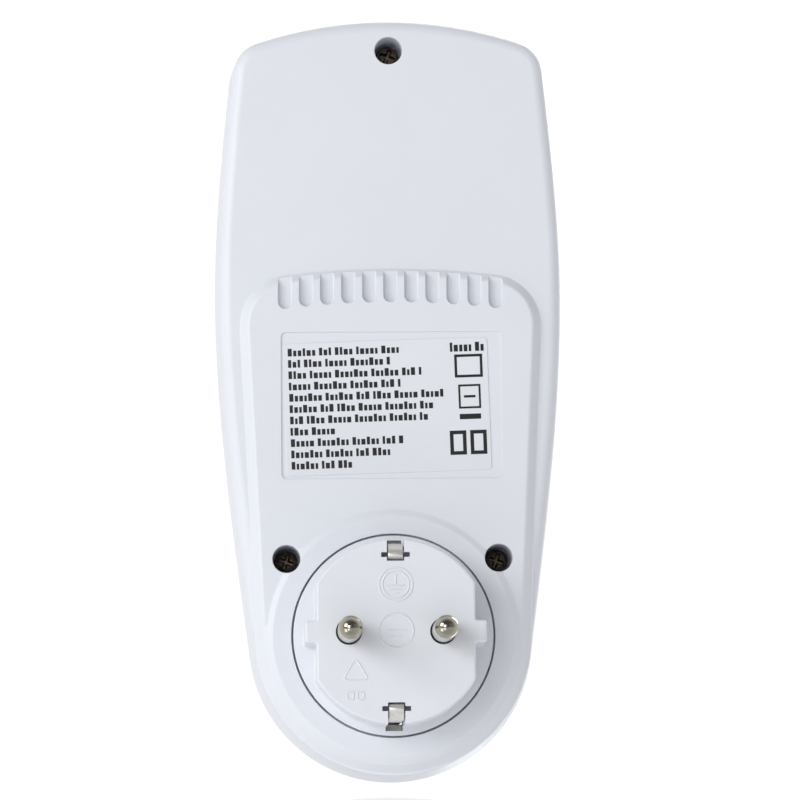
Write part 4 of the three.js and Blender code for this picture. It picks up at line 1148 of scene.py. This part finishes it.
# ---------------------------------------------------------------------------------------------------
# Operators
# ---------------------------------------------------------------------------------------------------


class METER_OT_case(bpy.types.Operator):
    """Make the case's two shells"""

    bl_idname = "meter.case"
    bl_label = "Case"

    def execute(self, context):
        settings = context.scene.meter_case
        plastic = case_plastic(settings)
        finished(rear_cover(settings), plastic)
        finished(front_cover(settings, context.scene.meter_display), plastic)
        return {"FINISHED"}


class METER_OT_case_screws(bpy.types.Operator):
    """Make the three screws that hold the case together"""

    bl_idname = "meter.case_screws"
    bl_label = "Case screws"

    def execute(self, context):
        oxide = surface("dark oxide", (0.24, 0.19, 0.15), 0.38, 1.0, grain=0.15 * MM, relief=0.006 * MM,
                        cloud=0.9 * MM, shade=0.45, polish=0.12)
        for node in CASE_SCREWS:
            finished(case_screw(node), oxide)
        return {"FINISHED"}


class METER_OT_plug(bpy.types.Operator):
    """Make the plug's base, its pins and its earth strips"""

    bl_idname = "meter.plug"
    bl_label = "Plug"

    def execute(self, context):
        settings = context.scene.meter_plug
        finished(plug_base(settings), plug_plastic(settings))
        nickel = polished_nickel(settings)
        for node in ("live_pin", "neutral_pin"):
            finished(plug_pin(node, settings), nickel)
        strip = strip_nickel(settings)
        for node, side in (("upper_earth_strip", 1), ("lower_earth_strip", -1)):
            finished(earth_strip(node, side), strip)
        return {"FINISHED"}


class METER_OT_label(bpy.types.Operator):
    """Make the rating label and its print"""

    bl_idname = "meter.label"
    bl_label = "Rating label"

    def execute(self, context):
        settings = context.scene.meter_label
        film = surface("label film", settings.film, 0.16, grain=3 * MM, relief=0.02 * MM, cloud=20 * MM,
                       shade=0.02, polish=0.04, Coat_Weight=0.5, Coat_Roughness=0.05)
        ink = surface("label ink", settings.ink, 0.35, grain=0.1 * MM, relief=0.002 * MM, shade=0.2)
        finished(label_film(settings), film)
        finished(label_print(settings), ink, nodes=())
        return {"FINISHED"}


class METER_OT_socket(bpy.types.Operator):
    """Make the socket's well"""

    bl_idname = "meter.socket"
    bl_label = "Socket"

    def execute(self, context):
        finished(socket_well(), plug_plastic(context.scene.meter_plug))
        return {"FINISHED"}


class METER_OT_display(bpy.types.Operator):
    """Make the display's window and digits"""

    bl_idname = "meter.display"
    bl_label = "Display"

    def execute(self, context):
        settings = context.scene.meter_display
        clear = surface("clear window", (0.93, 0.95, 0.96), 0.06, relief=0.0002 * MM, polish=0.01,
                        Transmission_Weight=1.0, IOR=1.3)
        finished(display_window(), clear)
        segments = surface("segment ink", settings.segment, 0.3)
        finished(display_digits(settings), segments, nodes=())
        return {"FINISHED"}


class METER_OT_keys(bpy.types.Operator):
    """Make the four keys, their marks and the reset button"""

    bl_idname = "meter.keys"
    bl_label = "Keys"

    def execute(self, context):
        settings = context.scene.meter_keys
        cap = surface("key plastic", settings.cap, 0.45, grain=0.2 * MM, relief=0.004 * MM)
        mark = surface("key mark", settings.mark, 0.5)
        for node in KEYS:
            finished(key_cap(node, settings), cap, body=node)
            finished(key_mark(node), mark, body=node, nodes=())
        reset = surface("reset plastic", settings.reset, 0.4, grain=0.2 * MM, relief=0.004 * MM)
        finished(reset_button(), reset, body="reset_button")
        return {"FINISHED"}


class METER_OT_inner_parts(bpy.types.Operator):
    """Give every piece inside the case its finish"""

    bl_idname = "meter.inner_parts"
    bl_label = "Inner parts"

    def execute(self, context):
        display = context.scene.meter_display
        finishes = {
            "carrier_plastic": surface("carrier plastic", (0.02, 0.022, 0.025), 0.5, grain=0.3 * MM),
            "frame_plastic": surface("frame plastic", (0.72, 0.73, 0.76), 0.45),
            "earth_nickel": strip_nickel(context.scene.meter_plug),
            "brass": surface("rolled brass", (0.78, 0.57, 0.22), 0.28, 1.0, grain=0.3 * MM, shade=0.15,
                             stretch=(1.0, 1.0, 6.0)),
            "steel_screw": surface("zinc plated steel", (0.6, 0.61, 0.64), 0.3, 1.0, shade=0.15),
            "spring_steel": surface("spring steel", (0.55, 0.56, 0.58), 0.25, 1.0, shade=0.1),
            "grey_shutter": surface("shutter plastic", (0.27, 0.3, 0.33), 0.5, grain=0.2 * MM),
            "dark_plastic": surface("dark plastic", (0.02, 0.021, 0.024), 0.5, grain=0.2 * MM),
            "lcd": surface("display glass", display.glass, 0.2, grain=0.5 * MM, relief=0.0003 * MM,
                           shade=0.06),
            "rubber": surface("contact rubber", (0.03, 0.033, 0.038), 0.8, grain=0.15 * MM, relief=0.01 * MM),
            "board": surface("board resist", (0.012, 0.16, 0.05), 0.35, grain=0.8 * MM, relief=0.01 * MM,
                             shade=0.4, cloud=1.6 * MM, stretch=(6.0, 1.0, 0.6)),
            "capacitor_yellow": surface("capacitor yellow", (0.72, 0.38, 0.02), 0.35, shade=0.1),
            "capacitor_blue": surface("capacitor sleeve", (0.02, 0.06, 0.18), 0.3, shade=0.2),
            "ceramic": surface("glazed ceramic", (0.8, 0.77, 0.7), 0.25, shade=0.06, cloud=3 * MM),
            "manganin": surface("bare alloy", (0.5, 0.28, 0.16), 0.32, 1.0, shade=0.2,
                                stretch=(6.0, 1.0, 1.0)),
        }
        slots = {row["node"]: row["material_slot"] for row in frame["record"]["subparts"]}
        for name, piece in frame["nodes"].items():
            if slots[name] in finishes:
                piece.data.materials.clear()
                piece.data.materials.append(finishes[slots[name]])
        return {"FINISHED"}


class METER_OT_stage(bpy.types.Operator):
    """Set the floor, the lights, the surroundings and the camera"""

    bl_idname = "meter.stage"
    bl_label = "Stage"

    def execute(self, context):
        settings = context.scene.meter_stage
        add_floor()
        add_surroundings(context.scene, settings.surroundings)
        target = Vector((0, PANEL_Y, DISPLAY_Z / 2))
        add_light("key light", Vector((1.1, 0.9, 0.45)), target, 0.7, settings.key_power)
        add_light("fill light", Vector((-0.9, 0.9, 0.2)), target, 0.9, settings.fill_power)
        add_light("front light", Vector((0.4, 1.05, 0.12)), target, 0.4, settings.front_power)
        add_light("label light", Vector((-0.03, 1.1, 0.22)), target, 0.15, settings.glare_power)
        add_light("room light", Vector((-0.5, -0.9, 0.6)), target, 0.8, settings.key_power)
        add_camera(settings)
        context.scene.view_settings.view_transform = "Standard"
        return {"FINISHED"}


def add_floor():
    """A wide white floor with a faint polish, just under the case. It is level behind the plug's side and
    bends to fall away gently in front of it: its section is a softened line carried along X."""
    reach, fall = 2.0, 1.5
    level = REAR_LOW.z - 0.6 * MM
    bend_y = PARTING_Y - 12 * MM
    drop = (fall - bend_y) * math.tan(math.radians(7))
    section = softened([(-reach, level), (bend_y, level), (fall, level - drop)], 30 * MM, 12)
    edges = [np.column_stack([np.full(len(section), x), section]) for x in (-reach, reach)]
    vertices = np.vstack(edges)
    index = np.arange(len(section) - 1)
    faces = np.column_stack([index + len(section), index + len(section) + 1, index + 1, index])
    mesh = bpy.data.meshes.new("floor")
    mesh.from_pydata(vertices.tolist(), [], faces.tolist())
    mesh.shade_smooth()
    floor = bpy.data.objects.new("floor", mesh)
    bpy.context.collection.objects.link(floor)
    mesh.materials.append(floor_finish())


def floor_finish():
    """A floor lit to an even white, with a faint reflection in it."""
    material = bpy.data.materials.new("floor")
    material.use_nodes = True
    nodes, links = material.node_tree.nodes, material.node_tree.links
    glow = node_of(material, "ShaderNodeEmission", Color=(1, 1, 1, 1), Strength=1.0)
    polish = node_of(material, "ShaderNodeBsdfGlossy", Color=(1, 1, 1, 1), Roughness=0.06)
    mix = node_of(material, "ShaderNodeMixShader", Fac=0.4)
    links.new(glow.outputs["Emission"], mix.inputs[1])
    links.new(polish.outputs["BSDF"], mix.inputs[2])
    links.new(mix.outputs["Shader"], nodes["Material Output"].inputs["Surface"])
    return material


def add_surroundings(scene, brightness):
    """A plain studio: white where it is seen, softer as light from all round, and for reflections white
    on the room side and dim on the wall side, where the dark of the studio is."""
    world = bpy.data.worlds.new("surroundings")
    world.use_nodes = True
    nodes, links = world.node_tree.nodes, world.node_tree.links
    background = nodes["Background"]
    background.inputs["Color"].default_value = (1, 1, 1, 1)
    path = nodes.new("ShaderNodeLightPath")
    place = nodes.new("ShaderNodeTexCoord")
    split = nodes.new("ShaderNodeSeparateXYZ")
    links.new(place.outputs["Generated"], split.inputs["Vector"])

    def spread(driver, low, high, near=0.0, far=1.0):
        """The driver spread from one value to another."""
        node = nodes.new("ShaderNodeMapRange")
        for name, value in (("From Min", near), ("From Max", far), ("To Min", low), ("To Max", high)):
            node.inputs[name].default_value = value
        links.new(driver, node.inputs["Value"])
        return node.outputs["Result"]

    def chosen(choice, otherwise, taken):
        """One value or the other, by a 0 or 1 choice."""
        node = nodes.new("ShaderNodeMix")
        links.new(choice, node.inputs["Factor"])
        for name, value in (("A", otherwise), ("B", taken)):
            if isinstance(value, float):
                node.inputs[name].default_value = value
            else:
                links.new(value, node.inputs[name])
        return node.outputs["Result"]

    mirrored = spread(split.outputs["Y"], 1.05, 0.14, -0.1, 0.55)
    lighting = chosen(path.outputs["Is Diffuse Ray"], mirrored, brightness)
    links.new(chosen(path.outputs["Is Camera Ray"], lighting, 1.05), background.inputs["Strength"])
    scene.world = world


def add_light(name, place, target, size, watts):
    """A square soft light turned to the target."""
    lamp = bpy.data.lights.new(name, "AREA")
    lamp.size = size
    lamp.energy = watts
    light = bpy.data.objects.new(name, lamp)
    light.location = place
    light.rotation_euler = (target - place).to_track_quat("-Z", "Y").to_euler()
    bpy.context.collection.objects.link(light)


def add_camera(settings):
    """A long lens a little below the object's middle, turned and rolled by small angles."""
    azimuth, elevation, roll = (math.radians(angle) for angle in (178.052, -5.613, -0.472))
    target = Vector((-1.838, -20, 48.735)) * MM
    level = math.cos(elevation)
    back = Vector((math.sin(azimuth) * level, -math.cos(azimuth) * level, math.sin(elevation)))
    right = (-back).cross(Vector((0, 0, 1))).normalized()
    up = right.cross(-back)
    turned_right = right * math.cos(roll) + up * math.sin(roll)
    turned_up = up * math.cos(roll) - right * math.sin(roll)
    axes = Matrix((turned_right, turned_up, back)).transposed().to_4x4()
    lens = bpy.data.cameras.new("camera")
    lens.lens = settings.focal_length
    lens.sensor_width = 36.0
    lens.clip_start = 0.01
    camera = bpy.data.objects.new("camera", lens)
    camera.matrix_world = Matrix.Translation(target + back * settings.distance) @ axes
    bpy.context.collection.objects.link(camera)
    bpy.context.scene.camera = camera


PIECE_OPERATORS = (
    METER_OT_case,
    METER_OT_case_screws,
    METER_OT_plug,
    METER_OT_label,
    METER_OT_socket,
    METER_OT_display,
    METER_OT_keys,
    METER_OT_inner_parts,
    METER_OT_stage,
)


class METER_PT_pieces(bpy.types.Panel):
    """Lists the meter's pieces and their settings"""

    bl_idname = "METER_PT_pieces"
    bl_label = "Power meter"
    bl_space_type = "VIEW_3D"
    bl_region_type = "UI"
    bl_category = "Power meter"

    def draw(self, context):
        for operator in PIECE_OPERATORS:
            self.layout.operator(operator.bl_idname)
        for name, group in SETTINGS.items():
            box = self.layout.box()
            for setting in group.__annotations__:
                box.prop(getattr(context.scene, name), setting)


def register():
    for group in SETTINGS.values():
        bpy.utils.register_class(group)
    for name, group in SETTINGS.items():
        setattr(bpy.types.Scene, name, PointerProperty(type=group))
    for operator in PIECE_OPERATORS:
        bpy.utils.register_class(operator)
    bpy.utils.register_class(METER_PT_pieces)


def unregister():
    bpy.utils.unregister_class(METER_PT_pieces)
    for operator in reversed(PIECE_OPERATORS):
        bpy.utils.unregister_class(operator)
    for name, group in SETTINGS.items():
        delattr(bpy.types.Scene, name)
        bpy.utils.unregister_class(group)


def main():
    register()
    for operator in PIECE_OPERATORS:
        group, name = operator.bl_idname.split(".")
        getattr(getattr(bpy.ops, group), name)()


if __name__ == "__main__":
    main()
